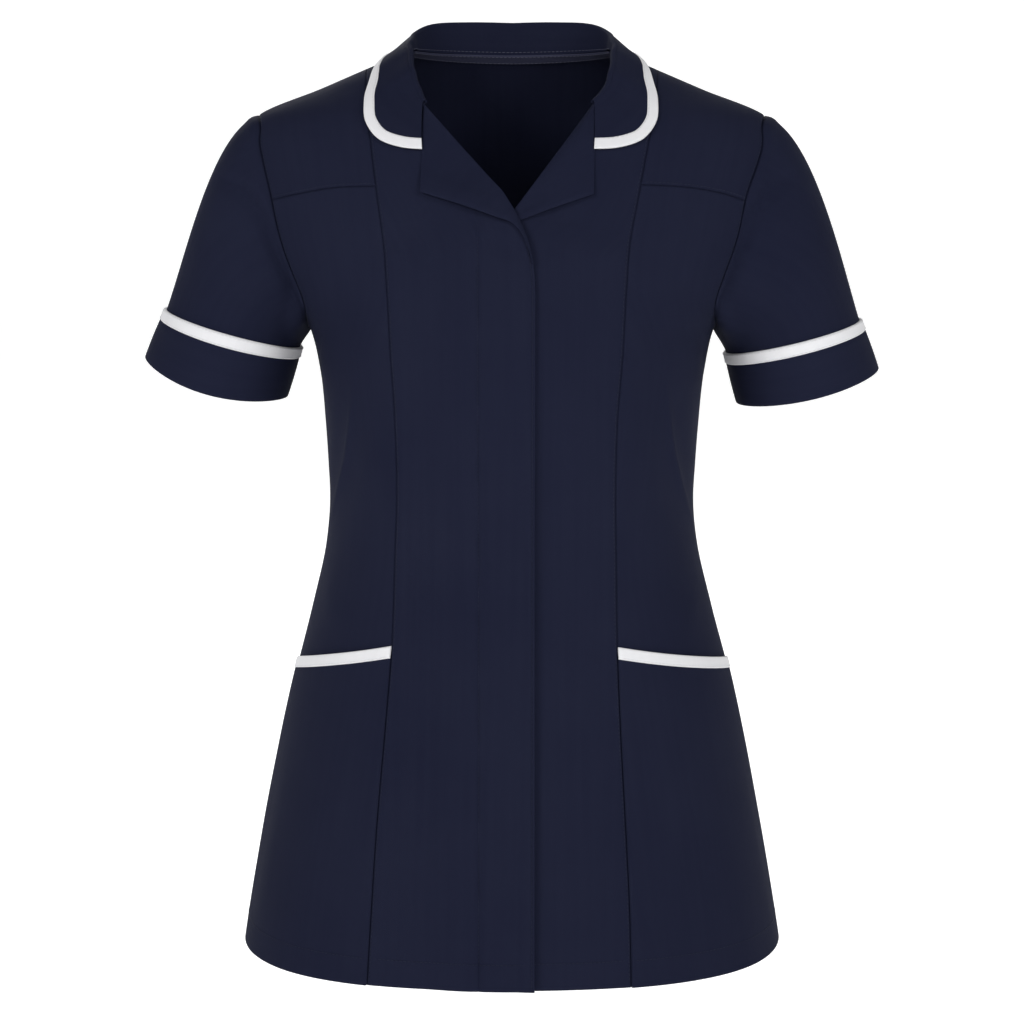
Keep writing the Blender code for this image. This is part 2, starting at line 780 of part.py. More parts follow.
def rows_between(points, normals, row):
    """Points and normals of a panel at a fractional row of its grid, one for each column."""
    low = np.clip(np.floor(row).astype(int), 0, len(points) - 2)
    share = (row - low)[:, None]
    cell = np.arange(points.shape[1])
    return (
        (1 - share) * points[low, cell] + share * points[low + 1, cell],
        unit((1 - share) * normals[low, cell] + share * normals[low + 1, cell]),
    )


def row_at_height(height, level):
    """Fractional row at which each column of a panel reaches its own level."""
    count = len(height)
    return np.array(
        [np.interp(-level[c], -height[:, c], np.arange(count)) for c in range(height.shape[1])]
    )


def make_pocket(side):
    """The pocket lies on the side front's own points, from its bound mouth into the hem."""
    angle, height = side_front_grid(side)
    points = figure(angle, height)
    normals = figure_normal(angle, height)
    across = np.linspace(0, 1, points.shape[1])
    mouth = POCKET_MOUTH_INNER + (POCKET_MOUTH_OUTER - POCKET_MOUTH_INNER) * across
    top = row_at_height(height, mouth)
    seam = row_at_height(height, mouth - POCKET_BINDING_WIDTH)
    body = [seam]
    for row in range(int(np.ceil(seam.min())), len(points)):
        body.append(np.maximum(row, body[-1] + POCKET_LEAST_ROW))
    pieces = (
        ("pocket_trim_", [top, seam], BINDING, TRIM_FINISH),
        ("pocket_", body, CLOTH, CLOTH_FINISH),
    )
    for name, rows, thickness, finish in pieces:
        outer, inner = [], []
        for row in rows:
            spot, normal = rows_between(points, normals, row)
            easing = np.sin(np.pi * across) * ease_between(row - top, POCKET_EASE_ROWS, 0)
            lift = (POCKET_GAP + POCKET_EASE * easing)[:, None]
            inner.append(spot + normal * lift)
            outer.append(spot + normal * (lift + thickness))
        skins = [np.array(outer), np.array(inner)]
        inset(skins, grid_normals(skins[0]))
        wall(name + side, *[mirrored(skin, side) for skin in skins], finish)


# Reveres


def even_run(path, cells):
    """Points at even distances along a flat path."""
    steps = np.concatenate([[0], np.cumsum(np.linalg.norm(np.diff(path, axis=0), axis=1))])
    wanted = np.linspace(0, steps[-1], cells + 1)
    return np.stack([np.interp(wanted, steps, path[:, k]) for k in (0, 1)], axis=-1)


def make_revere(side):
    """The turned-back top of a front, folded round its roll line and lying on the front."""
    spec = REVERE[side]
    roll = front_inner_side(side)[NECKLINE_ROWS:NECKLINE_ROWS + ROLL_ROWS + 2]
    roll = figure(roll[:, 0], roll[:, 1])[:, [0, 2]]
    level = np.append(np.linspace(REVERE_TOP, roll[-2, 1], REVERE_ROWS), spec["fold_end"])
    inner_edge = np.stack([np.interp(-level, -roll[:, 1], roll[:, 0]), level], axis=-1)
    start = inner_edge[0] + np.array([REVERE_TOP_WIDTH, -1.0])
    corner = np.array(spec["corner"], float)
    outer_edge = even_run(np.array([start, corner]), REVERE_ROWS)
    top = even_run(np.array([inner_edge[0], start]), REVERE_COLUMNS)
    lower = even_run(np.array([inner_edge[-1], corner]), REVERE_COLUMNS)
    flat = coons_points(top, lower, inner_edge, outer_edge)
    x, height = flat[..., 0], flat[..., 1]
    angle = angle_at(x, height)
    base = overlap_lift(x, height, side)[..., None]
    normals = figure_normal(angle, height)
    points = figure(angle, height) + normals * base
    tangent = unit(np.gradient(points[:, 0], axis=0))
    over_panel = unit(np.cross(normals[:, 0], tangent))
    over_panel = over_panel * np.sign(np.sum(over_panel * (points[:, 1] - points[:, 0])))
    outer, inner = [], []
    edge, out = points[:, 0], normals[:, 0]
    for row in FOLD_ROWS:
        fold = dict(zip(FOLD_COLUMNS, row))
        outer.append(edge + over_panel * fold["outer_along"] + out * fold["outer_out"])
        inner.append(edge + over_panel * fold["inner_along"] + out * fold["inner_out"])
    across = np.linspace(0, 1, REVERE_COLUMNS + 1)
    swell = REVERE_SWELL * ease_between(x, *REVERE_SWELL_FROM)[..., None]
    for k in range(1, REVERE_COLUMNS + 1):
        lift = LAYER_GAP + swell[:, k] * math.sin(math.pi * across[k] ** 0.7)
        inner.append(points[:, k] + normals[:, k] * lift)
        outer.append(points[:, k] + normals[:, k] * (lift + CLOTH))
    skins = [mirrored(np.array(skin), side) for skin in (outer, inner)]
    wall("revere_" + side, *skins, CLOTH_FINISH)


# Collar


def collar_half(side):
    """Neck seam, stand height and fall edge at each station, from the centre back."""
    rows = np.array(COLLAR_ROWS, float)
    rows[:, EDGE_X] *= COLLAR_REACH[side]
    rows[-1, EDGE_X] = COLLAR_END_X[side]
    rows[-1, 0] = NECK_END_ANGLE[side]
    rows[-2, 0] = (rows[-3, 0] + rows[-1, 0]) / 2
    neck = figure(rows[:, 0], rows[:, 1])
    steps = np.linalg.norm(np.diff(neck, axis=0), axis=1)
    steps = steps + np.linalg.norm(np.diff(rows[:, EDGE_X:], axis=0), axis=1)
    knots = np.concatenate([[0], np.cumsum(steps)])
    at = smooth_curve(knots, rows)
    half = at(np.linspace(0, knots[-1], COLLAR_STATIONS + 1))
    half[0] = rows[0]
    half[:, [0, EDGE_X]] *= SIDES[side]
    return half


def collar_fall(start, end, bulge, shares):
    """Points from the fold to the edge, bowed outward and kept clear of the shoulders."""
    shares = shares[..., None]
    middle = (start + end) / 2 + bulge
    line = (1 - shares) ** 2 * start + 2 * shares * (1 - shares) * middle + shares ** 2 * end
    angle, height = settle(line)
    ground = figure(angle, height)
    normal = figure_normal(angle, height)
    lift = np.sum((line - ground) * normal, axis=-1, keepdims=True)
    return line + normal * np.clip(COLLAR_LIFT - lift, 0, None)


def collar_shape():
    stations = np.vstack([collar_half("left")[::-1], collar_half("right")[1:]])
    neck = figure(stations[:, 0], stations[:, 1])
    stand = stations[:, 2][:, None]
    tangent = np.gradient(neck, axis=0)
    outward = np.stack([tangent[:, 1], -tangent[:, 0], np.zeros(len(tangent))], axis=-1)
    outward = unit(outward)
    outward = outward * np.sign(np.sum(outward * neck * np.array([1, 1, 0])))
    up = np.array([0, 0, 1.0])
    radius = COLLAR_FOLD_RADIUS
    foot = neck + up * COLLAR_BASE_GAP
    shoulder = neck + up * (stand - radius) + outward * stand * COLLAR_LEAN
    line = [foot, (foot + shoulder) / 2]
    for turn in np.linspace(math.pi, 0, COLLAR_FOLD_POINTS):
        over = outward * (1 + math.cos(turn)) + up * math.sin(turn)
        line.append(shoulder + radius * over)
    edge = stations[:, EDGE_X:]
    angle, height = settle(edge)
    edge = figure(angle, height) + figure_normal(angle, height) * COLLAR_LIFT
    bulge = outward * (COLLAR_BOW + COLLAR_BOW_WITH_STAND * stand) + up * COLLAR_BOW
    return np.array(line), edge, bulge


def distance_to_edge(points, edge):
    """Distance from each point to the polyline of the fall's outer edge."""
    fine = np.vstack([np.linspace(a, b, 6)[:-1] for a, b in zip(edge[:-1], edge[1:])] + [edge[-1:]])
    return np.min(np.linalg.norm(points[..., None, :] - fine, axis=-1), axis=-1)


def make_collar():
    line, edge, bulge = collar_shape()
    start = line[-1]
    count = len(start)
    shares = np.linspace(0, 1, 41)
    everywhere = np.repeat(shares[:, None], count, axis=1)
    falls = collar_fall(start[None], edge[None], bulge[None], everywhere)
    gaps = distance_to_edge(falls, edge)
    split = []
    for k in range(count):
        split.append(np.interp(-COLLAR_BINDING_WIDTH, -gaps[:, k], shares))
    split = np.array(split)
    length = np.linalg.norm(edge - start, axis=1)
    half_gap = LAYER_GAP / 2 / length
    steps = np.linspace(0, 1, COLLAR_FALL_ROWS + 1)[1:, None]
    fall = collar_fall(start[None], edge[None], bulge[None], steps * (split - half_gap)[None])
    navy = np.concatenate([line, fall])
    strip_shares = np.stack([split + half_gap, (split + half_gap + 1) / 2, np.ones(count)])
    strip = collar_fall(start[None], edge[None], bulge[None], strip_shares)
    for name, points, thickness, finish in (
        ("collar", navy, CLOTH, CLOTH_FINISH),
        ("collar_trim", strip, BINDING, TRIM_FINISH),
    ):
        normals = grid_normals(points)
        ends = points.copy()
        for end, towards in ((0, 1), (-1, -2)):
            step = unit(points[:, towards] - points[:, end])
            ends[:, end] = points[:, end] + step * COLLAR_END_CLEARANCE
        wall(name, ends + normals * thickness / 2, ends - normals * thickness / 2, finish)


def make_neck_tape():
    rows = [row for row in NECK_ROWS if row[0] > 90]
    ends = [(TAPE_END_ANGLE, float(np.interp(TAPE_END_ANGLE, [90, 112], [0, -1])))]
    half = rows + ends
    other = [(360 - angle, height) for angle, height in reversed(half[1:])]
    run = spaced(curve_through(other + half)[::-1], TAPE_CELLS)
    seam = figure(run[:, 0], run[:, 1])
    normal = figure_normal(run[:, 0], run[:, 1])
    down = unit(np.cross(normal, np.gradient(seam, axis=0)))
    down = down * np.sign(-np.sum(down[:, 2]))
    lines = np.array([seam + down * distance for distance in (LAYER_GAP, TAPE_WIDTH + LAYER_GAP)])
    angle, height = settle(lines)
    points = figure(angle, height)
    normals = figure_normal(angle, height)
    outer = points - normals * (CLOTH + LAYER_GAP)
    wall("neck_tape", outer, outer - normals * TAPE, CLOTH_FINISH)


def clear_scene():
    for item in list(bpy.data.objects):
        bpy.data.objects.remove(item, do_unlink=True)


def main():
    clear_scene()
    for side in SIDES:
        make_centre_front(side)
        make_front_yoke(side)
        make_side_front(side)
        make_pocket(side)
        make_sleeve(side)
        make_cuff(side)
        make_revere(side)
    make_back_yoke()
    make_back()
    make_collar()
    make_neck_tape()


main()
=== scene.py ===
# %% [markdown]
# # A medical tunic, filled out as if someone wore it
# The real tunic is cut from one navy twill, a close polyester-cotton cloth, and trimmed with
# a white woven binding. Every panel in this lesson is a thin curved sheet, because that is
# what cloth is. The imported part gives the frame: the same figure, seams and sizes are used
# here, with a much finer grid, rolled edges, soft folds, stitches and real cloth finishes.
# Sizes are in millimetres and angles in degrees, until MM turns the points into metres.

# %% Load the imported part
import json
import math

import bpy
import numpy as np
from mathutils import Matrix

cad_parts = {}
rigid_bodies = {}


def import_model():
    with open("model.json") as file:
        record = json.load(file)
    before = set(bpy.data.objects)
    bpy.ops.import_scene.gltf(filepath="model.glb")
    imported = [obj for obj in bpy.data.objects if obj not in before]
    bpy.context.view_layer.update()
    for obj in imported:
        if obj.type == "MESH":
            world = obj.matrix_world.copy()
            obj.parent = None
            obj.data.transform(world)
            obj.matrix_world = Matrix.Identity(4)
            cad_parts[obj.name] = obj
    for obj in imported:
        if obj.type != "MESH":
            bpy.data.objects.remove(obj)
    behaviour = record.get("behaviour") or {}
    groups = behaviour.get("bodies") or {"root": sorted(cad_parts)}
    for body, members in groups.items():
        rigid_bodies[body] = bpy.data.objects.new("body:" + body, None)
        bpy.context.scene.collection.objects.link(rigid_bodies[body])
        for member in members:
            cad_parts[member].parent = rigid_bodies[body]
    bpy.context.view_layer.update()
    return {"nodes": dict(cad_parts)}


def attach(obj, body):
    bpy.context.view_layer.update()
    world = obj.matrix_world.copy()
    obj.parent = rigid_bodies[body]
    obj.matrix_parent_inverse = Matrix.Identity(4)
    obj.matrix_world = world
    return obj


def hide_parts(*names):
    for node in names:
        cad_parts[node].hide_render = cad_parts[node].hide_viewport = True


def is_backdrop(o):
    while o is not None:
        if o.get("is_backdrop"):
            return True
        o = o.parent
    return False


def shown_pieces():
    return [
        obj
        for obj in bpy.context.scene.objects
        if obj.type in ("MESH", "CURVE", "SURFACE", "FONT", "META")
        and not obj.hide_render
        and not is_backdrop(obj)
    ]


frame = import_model()
print("nodes in the part:", len(frame["nodes"]))

# %% [markdown]
# ## Camera
# The photograph was taken from the front, a little above the tunic and with a long lens, so
# the hem shows its front curve and the neck shows its inside. A lens of 108 mm from 2.4 m
# gives the same picture.

# %% Camera
CAMERA_DISTANCE = 2.40
CAMERA_HEIGHT = 0.02
CAMERA_TILT = 9.02
CAMERA_LENS = 108.14


def make_camera():
    data = bpy.data.cameras.new("camera")
    data.lens = CAMERA_LENS
    camera = bpy.data.objects.new("camera", data)
    camera.location = (0, -CAMERA_DISTANCE, CAMERA_HEIGHT)
    camera.rotation_euler = (math.radians(90 - CAMERA_TILT), 0, 0)
    bpy.context.scene.collection.objects.link(camera)
    bpy.context.scene.camera = camera
    return camera


print("made", make_camera().name)

# %% [markdown]
# ## The figure that fills the tunic
# A worn tunic takes its shape from level sections: each one is an ellipse with its own half
# width and front and back depths, made a little squarer. A smooth curve through the sections
# gives a point for any angle round the figure and any height, and that point is where the
# outside of the cloth lies.

# %% Level sections of the figure
MM = 0.001
CLOTH = 1.2
SQUARENESS = 0.2
FIGURE_COLUMNS = ("height", "half_width", "front_depth", "back_depth")
FIGURE_ROWS = (
    (-730, 217, 153, 150),
    (-694, 212, 152, 147),
    (-628, 201, 147, 142),
    (-562, 188, 140, 134),
    (-497, 174, 131, 122),
    (-432, 157, 121, 104),
    (-383, 146, 118, 91),
    (-351, 143, 121, 88),
    (-320, 144, 127, 92),
    (-288, 146, 133, 98),
    (-248, 150, 137, 106),
    (-215, 157, 135, 110),
    (-190, 168, 131, 112),
    (-150, 190, 121, 114),
    (-112, 203, 107, 112),
    (-80, 206, 93, 107),
    (-62, 203, 84, 102),
    (-50, 195, 76, 98),
    (-30, 147, 61, 88),
    (-15, 112, 50, 78),
    (-5, 88, 37, 70),
    (0, 76, 30, 66),
    (12, 48, 16, 58),
)


def column(columns, rows, name):
    return np.array([row[columns.index(name)] for row in rows], float)


def unit(vectors):
    return vectors / np.linalg.norm(vectors, axis=-1, keepdims=True)


def smooth_curve(knots, values):
    """A cubic through the values, whose slope at a knot blends the runs on either side."""
    knots = np.asarray(knots, float)
    values = np.asarray(values, float).reshape(len(knots), -1)
    steps = np.diff(knots)[:, None]
    runs = np.diff(values, axis=0) / steps
    slopes = np.empty_like(values)
    slopes[1:-1] = (steps[1:] * runs[:-1] + steps[:-1] * runs[1:]) / (steps[1:] + steps[:-1])
    slopes[0] = 1.5 * runs[0] - 0.5 * slopes[1]
    slopes[-1] = 1.5 * runs[-1] - 0.5 * slopes[-2]

    def value_at(where):
        where = np.atleast_1d(np.asarray(where, float))
        cell = np.clip(np.searchsorted(knots, where) - 1, 0, len(steps) - 1)
        step = steps[cell]
        share = (where - knots[cell])[:, None] / step
        rest = 1 - share
        start = rest ** 2 * ((1 + 2 * share) * values[cell] + share * step * slopes[cell])
        end = share ** 2 * ((1 + 2 * rest) * values[cell + 1] - rest * step * slopes[cell + 1])
        return start + end

    return value_at


FIGURE_AT = smooth_curve(
    column(FIGURE_COLUMNS, FIGURE_ROWS, "height"),
    [row[1:] for row in FIGURE_ROWS],
)


def figure(angle, height):
    """Point of the figure; angle 0 is the centre front and 90 the wearer's side."""
    angle, height = np.broadcast_arrays(np.asarray(angle, float), np.asarray(height, float))
    turn = np.radians(angle.ravel())
    sections = FIGURE_AT(height.ravel())
    depth = np.where(np.cos(turn) >= 0, sections[:, 1], sections[:, 2])
    fullness = 1 + SQUARENESS * np.sin(turn) ** 2
    points = np.stack(
        [sections[:, 0] * np.sin(turn), -depth * np.cos(turn) * fullness, height.ravel()],
        axis=-1,
    )
    return points.reshape(angle.shape + (3,))


print("half width at the waist:", round(float(FIGURE_AT(-351)[0, 0])), "mm")

# %% [markdown]
# ## Directions on the figure
# A sheet needs more than points. The two slopes at a point say which way the cloth runs
# there, their cross product is the way out of the cloth, and stepping along them finds the
# point of the figure nearest to any other point.

# %% Slopes, normals and nearest points
SETTLE_ROUNDS = 12
SETTLE_STEP = 8


def figure_slopes(angle, height):
    small = 0.05
    across = (figure(angle + small, height) - figure(angle - small, height)) / (2 * small)
    upward = (figure(angle, height + small) - figure(angle, height - small)) / (2 * small)
    return across, upward


def figure_normal(angle, height):
    across, upward = figure_slopes(np.asarray(angle, float), np.asarray(height, float))
    return unit(np.cross(across, upward))


def angle_at(x, height):
    """Angle on the front of the figure at a distance x from the centre line."""
    height = np.asarray(height, float)
    half_width = FIGURE_AT(height.ravel())[:, 0].reshape(height.shape)
    return np.degrees(np.arcsin(np.clip(x / half_width, -1, 1)))


def settle(points):
    """Angle and height of the figure's point nearest to each point given."""
    lowest, highest = FIGURE_ROWS[0][0] + 1, FIGURE_ROWS[-1][0] - 1
    flat = points.reshape(-1, 3)
    height = np.clip(flat[:, 2], lowest, highest)
    sections = FIGURE_AT(height)
    depth = np.where(flat[:, 1] <= 0, sections[:, 1], sections[:, 2])
    angle = np.degrees(np.arctan2(flat[:, 0] / sections[:, 0], -flat[:, 1] / depth))
    for _ in range(SETTLE_ROUNDS):
        across, upward = figure_slopes(angle, height)
        miss = flat - figure(angle, height)
        aa = np.sum(across * across, axis=1)
        au = np.sum(across * upward, axis=1)
        uu = np.sum(upward * upward, axis=1)
        am = np.sum(across * miss, axis=1)
        um = np.sum(upward * miss, axis=1)
        spread = aa * uu - au * au
        turn = np.clip((uu * am - au * um) / spread, -SETTLE_STEP, SETTLE_STEP)
        climb = np.clip((aa * um - au * am) / spread, -SETTLE_STEP, SETTLE_STEP)
        angle = angle + turn
        height = np.clip(height + climb, lowest, highest)
    return angle.reshape(points.shape[:-1]), height.reshape(points.shape[:-1])


print("out of the chest:", np.round(figure_normal(0, -248), 2))

# %% [markdown]
# ## Runs along the cloth
# A seam is a path of angles and heights. A curve through a few places makes a fine path, and
# stations are then taken along it by their share of its length over the cloth. Near its ends
# the stations lie close together, so that an edge can roll over within two millimetres.

# %% Paths and stations
CELL = 3.4
EDGE_STEPS = (0, 0.35, 0.8, 1.4, 2.2, 3.4)


def curve_through(points, samples=240):
    points = np.asarray(points, float)
    knots = np.concatenate([[0], np.cumsum(np.linalg.norm(np.diff(points, axis=0), axis=1))])
    return smooth_curve(knots, points)(np.linspace(0, knots[-1], samples))


def travelled(points):
    """Length over the cloth from the first point to each point."""
    return np.concatenate([[0], np.cumsum(np.linalg.norm(np.diff(points, axis=0), axis=1))])


def at_shares(path, shares):
    """Stations of a path of angles and heights at shares of its length."""
    run = travelled(figure(path[:, 0], path[:, 1]))
    wanted = np.asarray(shares) * run[-1]
    return np.stack([np.interp(wanted, run, path[:, k]) for k in (0, 1)], axis=-1)


def run_length(path):
    return travelled(figure(path[:, 0], path[:, 1]))[-1]


def seam_shares(length, cells, near_start=EDGE_STEPS, near_end=EDGE_STEPS):
    """Even shares of a length, with closer ones at given distances from its two ends."""
    start = np.array(near_start) / length
    end = 1 - np.array(near_end)[::-1] / length
    middle = np.linspace(start[-1], end[0], cells + 1)[1:-1]
    return np.concatenate([start, middle, end])


def joined(*runs):
    """One run from several, each starting where the last one ends."""
    return np.vstack([runs[0]] + [run[1:] for run in runs[1:]])


def other_half(run):
    """The same run on the wearer's right, with the angle carried on past 180."""
    return np.stack([360 - run[:, 0], run[:, 1]], axis=-1)


print("stations on a 500 mm seam:", len(seam_shares(500, math.ceil(500 / CELL))))

# %% [markdown]
# ## Seams of the body
# A tunic of this cut has long princess seams from the shoulder to the hem, a yoke across the
# front shoulders and one across the back, side seams and set-in sleeves. Each seam is a short
# table of places measured on the real cut, and the two sides differ a little, as worn cloth
# does.

# %% Seam tables
SIDES = {"right": -1, "left": 1}
HEM = -705
HEM_BAND = 20
SHOULDER_TIP = -50
SHOULDER_PRINCESS = -15
ARMPIT = -215
PRINCESS_COLUMNS = ("height", "right", "left")
PRINCESS_ROWS = (
    (HEM, 111, 91),
    (-655, 108, 90),
    (-570, 102, 86),
    (-515, 97, 83),
    (-440, 91, 80),
    (-380, 89, 79),
    (-335, 87, 78),
    (-270, 88, 79),
    (-220, 91, 83),
    (-180, 93, 85),
    (-142, 96, 88),
    (-100, 102, 96),
    (-70, 106, 102),
    (SHOULDER_PRINCESS, 112, 112),
)
EDGE_COLUMNS = ("height", "right", "left")
EDGE_ROWS = (
    (HEM, 17, 28),
    (-400, 17, 28),
    (-200, 17, 28),
    (-174, 17, 27),
    (-155, 15.5, 22.7),
    (-145, 13.4, 18.5),
    (-135, 10, 13),
    (-125, 4.4, 6.5),
)
CROSSING_HEIGHT = -119
CROSSING_PAST_CENTRE = {"right": 1, "left": -1}
NECK_ROWS = (
    (180, -5),
    (157, -4.2),
    (135, -2.8),
    (112, -1),
    (90, 0),
    (59, -5),
    (37.8, -18),
    (28.3, -30),
)
NECK_SIDE_ROW = 4
NECK_END_HEIGHT = -40
NECK_END_ANGLE = {"right": 22.5, "left": 21.1}
ARMHOLE_COLUMNS = ("height", "front_right", "front_left", "back")
ARMHOLE_ROWS = (
    (SHOULDER_TIP, 90, 90, 90),
    (-54, 76, 75, 103),
    (-77, 68, 67, 109),
    (-105, 64, 61, 111),
    (-140, 65, 61.5, 110),
    (-170, 68, 63.5, 108),
    (-199, 75, 71, 103),
    (ARMPIT, 90, 90, 90),
)
FRONT_YOKE_END = -112
BACK_YOKE_END = -105
FRONT_YOKE_START = {"right": -99.5, "left": -98.5}
FRONT_YOKE_MIDDLE = ((40, -101), (51, -106))
BACK_YOKE_MIDDLE = ((135, -100), (158, -98.5), (180, -98))
print("princess seams from", SHOULDER_PRINCESS, "to", HEM, "mm")

# %% Seam paths
def shoulder_seam(top, tip):
    return np.stack([np.full(80, 90.0), np.linspace(top, tip, 80)], axis=-1)


def princess_path(side, top, bottom):
    """A princess seam between two heights."""
    x_at = smooth_curve(
        column(PRINCESS_COLUMNS, PRINCESS_ROWS, "height"),
        column(PRINCESS_COLUMNS, PRINCESS_ROWS, side),
    )
    height = top + (bottom - top) * np.linspace(0, 1, 300) ** 2
    path = np.stack([angle_at(x_at(height)[:, 0], height), height], axis=-1)
    if top == SHOULDER_PRINCESS:
        path[0, 0] = 90
    return path


def armhole(half):
    """The runs of half an armhole above and below the yoke seam, from the shoulder tip."""
    angles = column(ARMHOLE_COLUMNS, ARMHOLE_ROWS, half)
    heights = column(ARMHOLE_COLUMNS, ARMHOLE_ROWS, "height")
    path = curve_through(np.stack([angles, heights], axis=-1), 400)
    end = BACK_YOKE_END if half == "back" else FRONT_YOKE_END
    split = int(np.argmax(path[:, 1] <= end))
    return path[: split + 1], path[split:]


def side_seam():
    return np.stack([np.full(200, 90.0), np.linspace(ARMPIT, HEM, 200)], axis=-1)


def front_yoke_seam(side):
    start = princess_path(side, FRONT_YOKE_START[side], HEM)[0]
    end = armhole("front_" + side)[1][0]
    return curve_through([start, *FRONT_YOKE_MIDDLE, end])


def back_yoke_seam():
    end = armhole("back")[1][0]
    half = [tuple(end), *BACK_YOKE_MIDDLE]
    other = [(360 - angle, height) for angle, height in reversed(half[:-1])]
    return curve_through(half + other, 400)


def neck_front(side):
    return curve_through([*NECK_ROWS[NECK_SIDE_ROW:], (NECK_END_ANGLE[side], NECK_END_HEIGHT)])


def neck_back():
    half = np.array(NECK_ROWS[NECK_SIDE_ROW::-1], float)
    return curve_through(joined(half, other_half(half)[::-1]), 400)


def front_edge(side):
    """Roll line and front edge, from the top of the revere to the hem."""
    top = neck_front(side)[-1]
    top_x = float(figure(top[0], top[1])[0])
    heights = np.append(column(EDGE_COLUMNS, EDGE_ROWS, "height"), CROSSING_HEIGHT)
    past = np.append(column(EDGE_COLUMNS, EDGE_ROWS, side), CROSSING_PAST_CENTRE[side])
    edge_x = smooth_curve(heights, -past)
    roll_z = np.linspace(top[1], CROSSING_HEIGHT, 60)
    roll_x = np.linspace(top_x, -past[-1], 60)
    edge_z = np.linspace(CROSSING_HEIGHT, HEM, 400)
    x = np.append(roll_x, edge_x(edge_z[1:])[:, 0])
    z = np.append(roll_z, edge_z[1:])
    return np.stack([angle_at(x, z), z], axis=-1)


def level_run(start, end):
    return np.linspace(start, end, 160)


print("armhole round one sleeve:", round(sum(
    run_length(joined(*armhole(half))) for half in ("front_left", "back")
)), "mm")

# %% [markdown]
# ## Soft folds
# Cloth on a figure is never quite smooth. The photograph shows a slender ridge at each side
# of the waist, with a hollow beside it, and a gentle pull towards each armpit. Each fold is
# a path with a width and a rise: a rise below zero is a trough. They are listed one by one
# and kept uneven, and the back has folds of the same kind.

# %% Folds on the body
FOLD_END_TRIM = 0.04
FOLD_TAPER = 0.8
FOLD_COLUMNS = ("side", "path", "width", "rise")
FOLD_ROWS = (
    ("right", ((53, -246), (57, -280), (62, -308), (70, -336), (82, -366)), 4.2, 2.0),
    ("right", ((60, -262), (67, -300), (78, -338)), 12, -2.0),
    ("right", ((50, -268), (55, -306), (62, -338), (72, -372)), 11, -1.2),
    ("left", ((50, -246), (54, -272), (58, -300), (66, -332), (79, -366)), 4.2, 2.1),
    ("left", ((57, -258), (63, -292), (75, -336)), 12, -2.1),
    ("left", ((46, -264), (51, -300), (59, -334), (70, -376)), 12, -1.2),
    ("right", ((84, -250), (77, -226), (66, -210), (52, -204)), 9, -1.5),
    ("left", ((84, -252), (76, -230), (64, -214), (50, -210)), 9, -1.6),
    ("right", ((72, -404), (60, -430), (46, -448)), 14, 1.2),
    ("left", ((70, -410), (57, -438), (44, -452)), 14, 1.1),
    ("right", ((20, -128), (32, -148), (46, -176)), 12, -0.9),
    ("left", ((22, -132), (34, -150), (48, -178)), 12, -0.8),
    ("right", ((6.1, -140), (2.6, -143.7), (-0.9, -150.4)), 7, -0.8),
    ("right", ((12, -640), (15, -560), (13, -480)), 22, 0.9),
    ("left", ((14, -660), (18, -590), (16, -520)), 24, 0.8),
    ("right", ((56, -700), (52, -620), (50, -540)), 24, 1.2),
    ("left", ((60, -700), (57, -630), (54, -560)), 24, 1.1),
    ("right", ((82, -700), (80, -620), (78, -540)), 20, -1.4),
    ("left", ((84, -700), (83, -640), (80, -560)), 20, -1.3),
    ("right", ((98, -362), (112, -340), (128, -326), (146, -322)), 9, 2.0),
    ("right", ((100, -378), (116, -362), (134, -352), (150, -350)), 11, -2.2),
    ("left", ((97, -358), (110, -336), (125, -318), (140, -310)), 9, 1.9),
    ("left", ((99, -374), (114, -354), (131, -340), (147, -334)), 11, -2.0),
    ("right", ((101, -392), (118, -386), (138, -384)), 10, 1.5),
    ("left", ((102, -396), (120, -382), (141, -374)), 10, 1.6),
    ("right", ((98, -228), (112, -250), (124, -278)), 11, -1.8),
    ("left", ((97, -226), (110, -246), (121, -272)), 11, -1.8),
    ("right", ((118, -150), (134, -172), (152, -186)), 16, 1.3),
    ("left", ((119, -156), (136, -180), (154, -190)), 16, 1.2),
    ("right", ((150, -700), (152, -620), (154, -540)), 26, 2.2),
    ("left", ((146, -700), (149, -630), (152, -560)), 26, 2.0),
    ("right", ((118, -700), (120, -630), (124, -560)), 24, -2.0),
    ("left", ((121, -700), (122, -620), (126, -550)), 24, -1.8),
    ("left", ((177, -700), (178, -620), (179, -540)), 24, -1.6),
)
WAVE_COLUMNS = ("round_the_body", "up_the_body", "start", "rise")
WAVE_ROWS = (
    (3, 160, 0.4, 0.35),
    (5, 95, 2.1, 0.22),
    (8, 61, 4.0, 0.14),
    (13, 37, 1.2, 0.08),
)


def distance_along(points, path):
    """Distance to a path of points, and the share of the path at the nearest one."""
    best = np.full(points.shape[:-1], 1e9)
    share = np.zeros(points.shape[:-1])
    for k, spot in enumerate(path):
        gap = np.linalg.norm(points - spot, axis=-1)
        nearer = gap < best
        best = np.where(nearer, gap, best)
        share = np.where(nearer, k / (len(path) - 1), share)
    return best, share


def fold_profile(gap, share, width, rise):
    """Rise of a fold at a gap from its path; it fades out towards both of its ends."""
    along = share * (1 - 2 * FOLD_END_TRIM) + FOLD_END_TRIM
    return rise * np.sin(math.pi * along) ** FOLD_TAPER * np.exp(-((gap / width) ** 2))


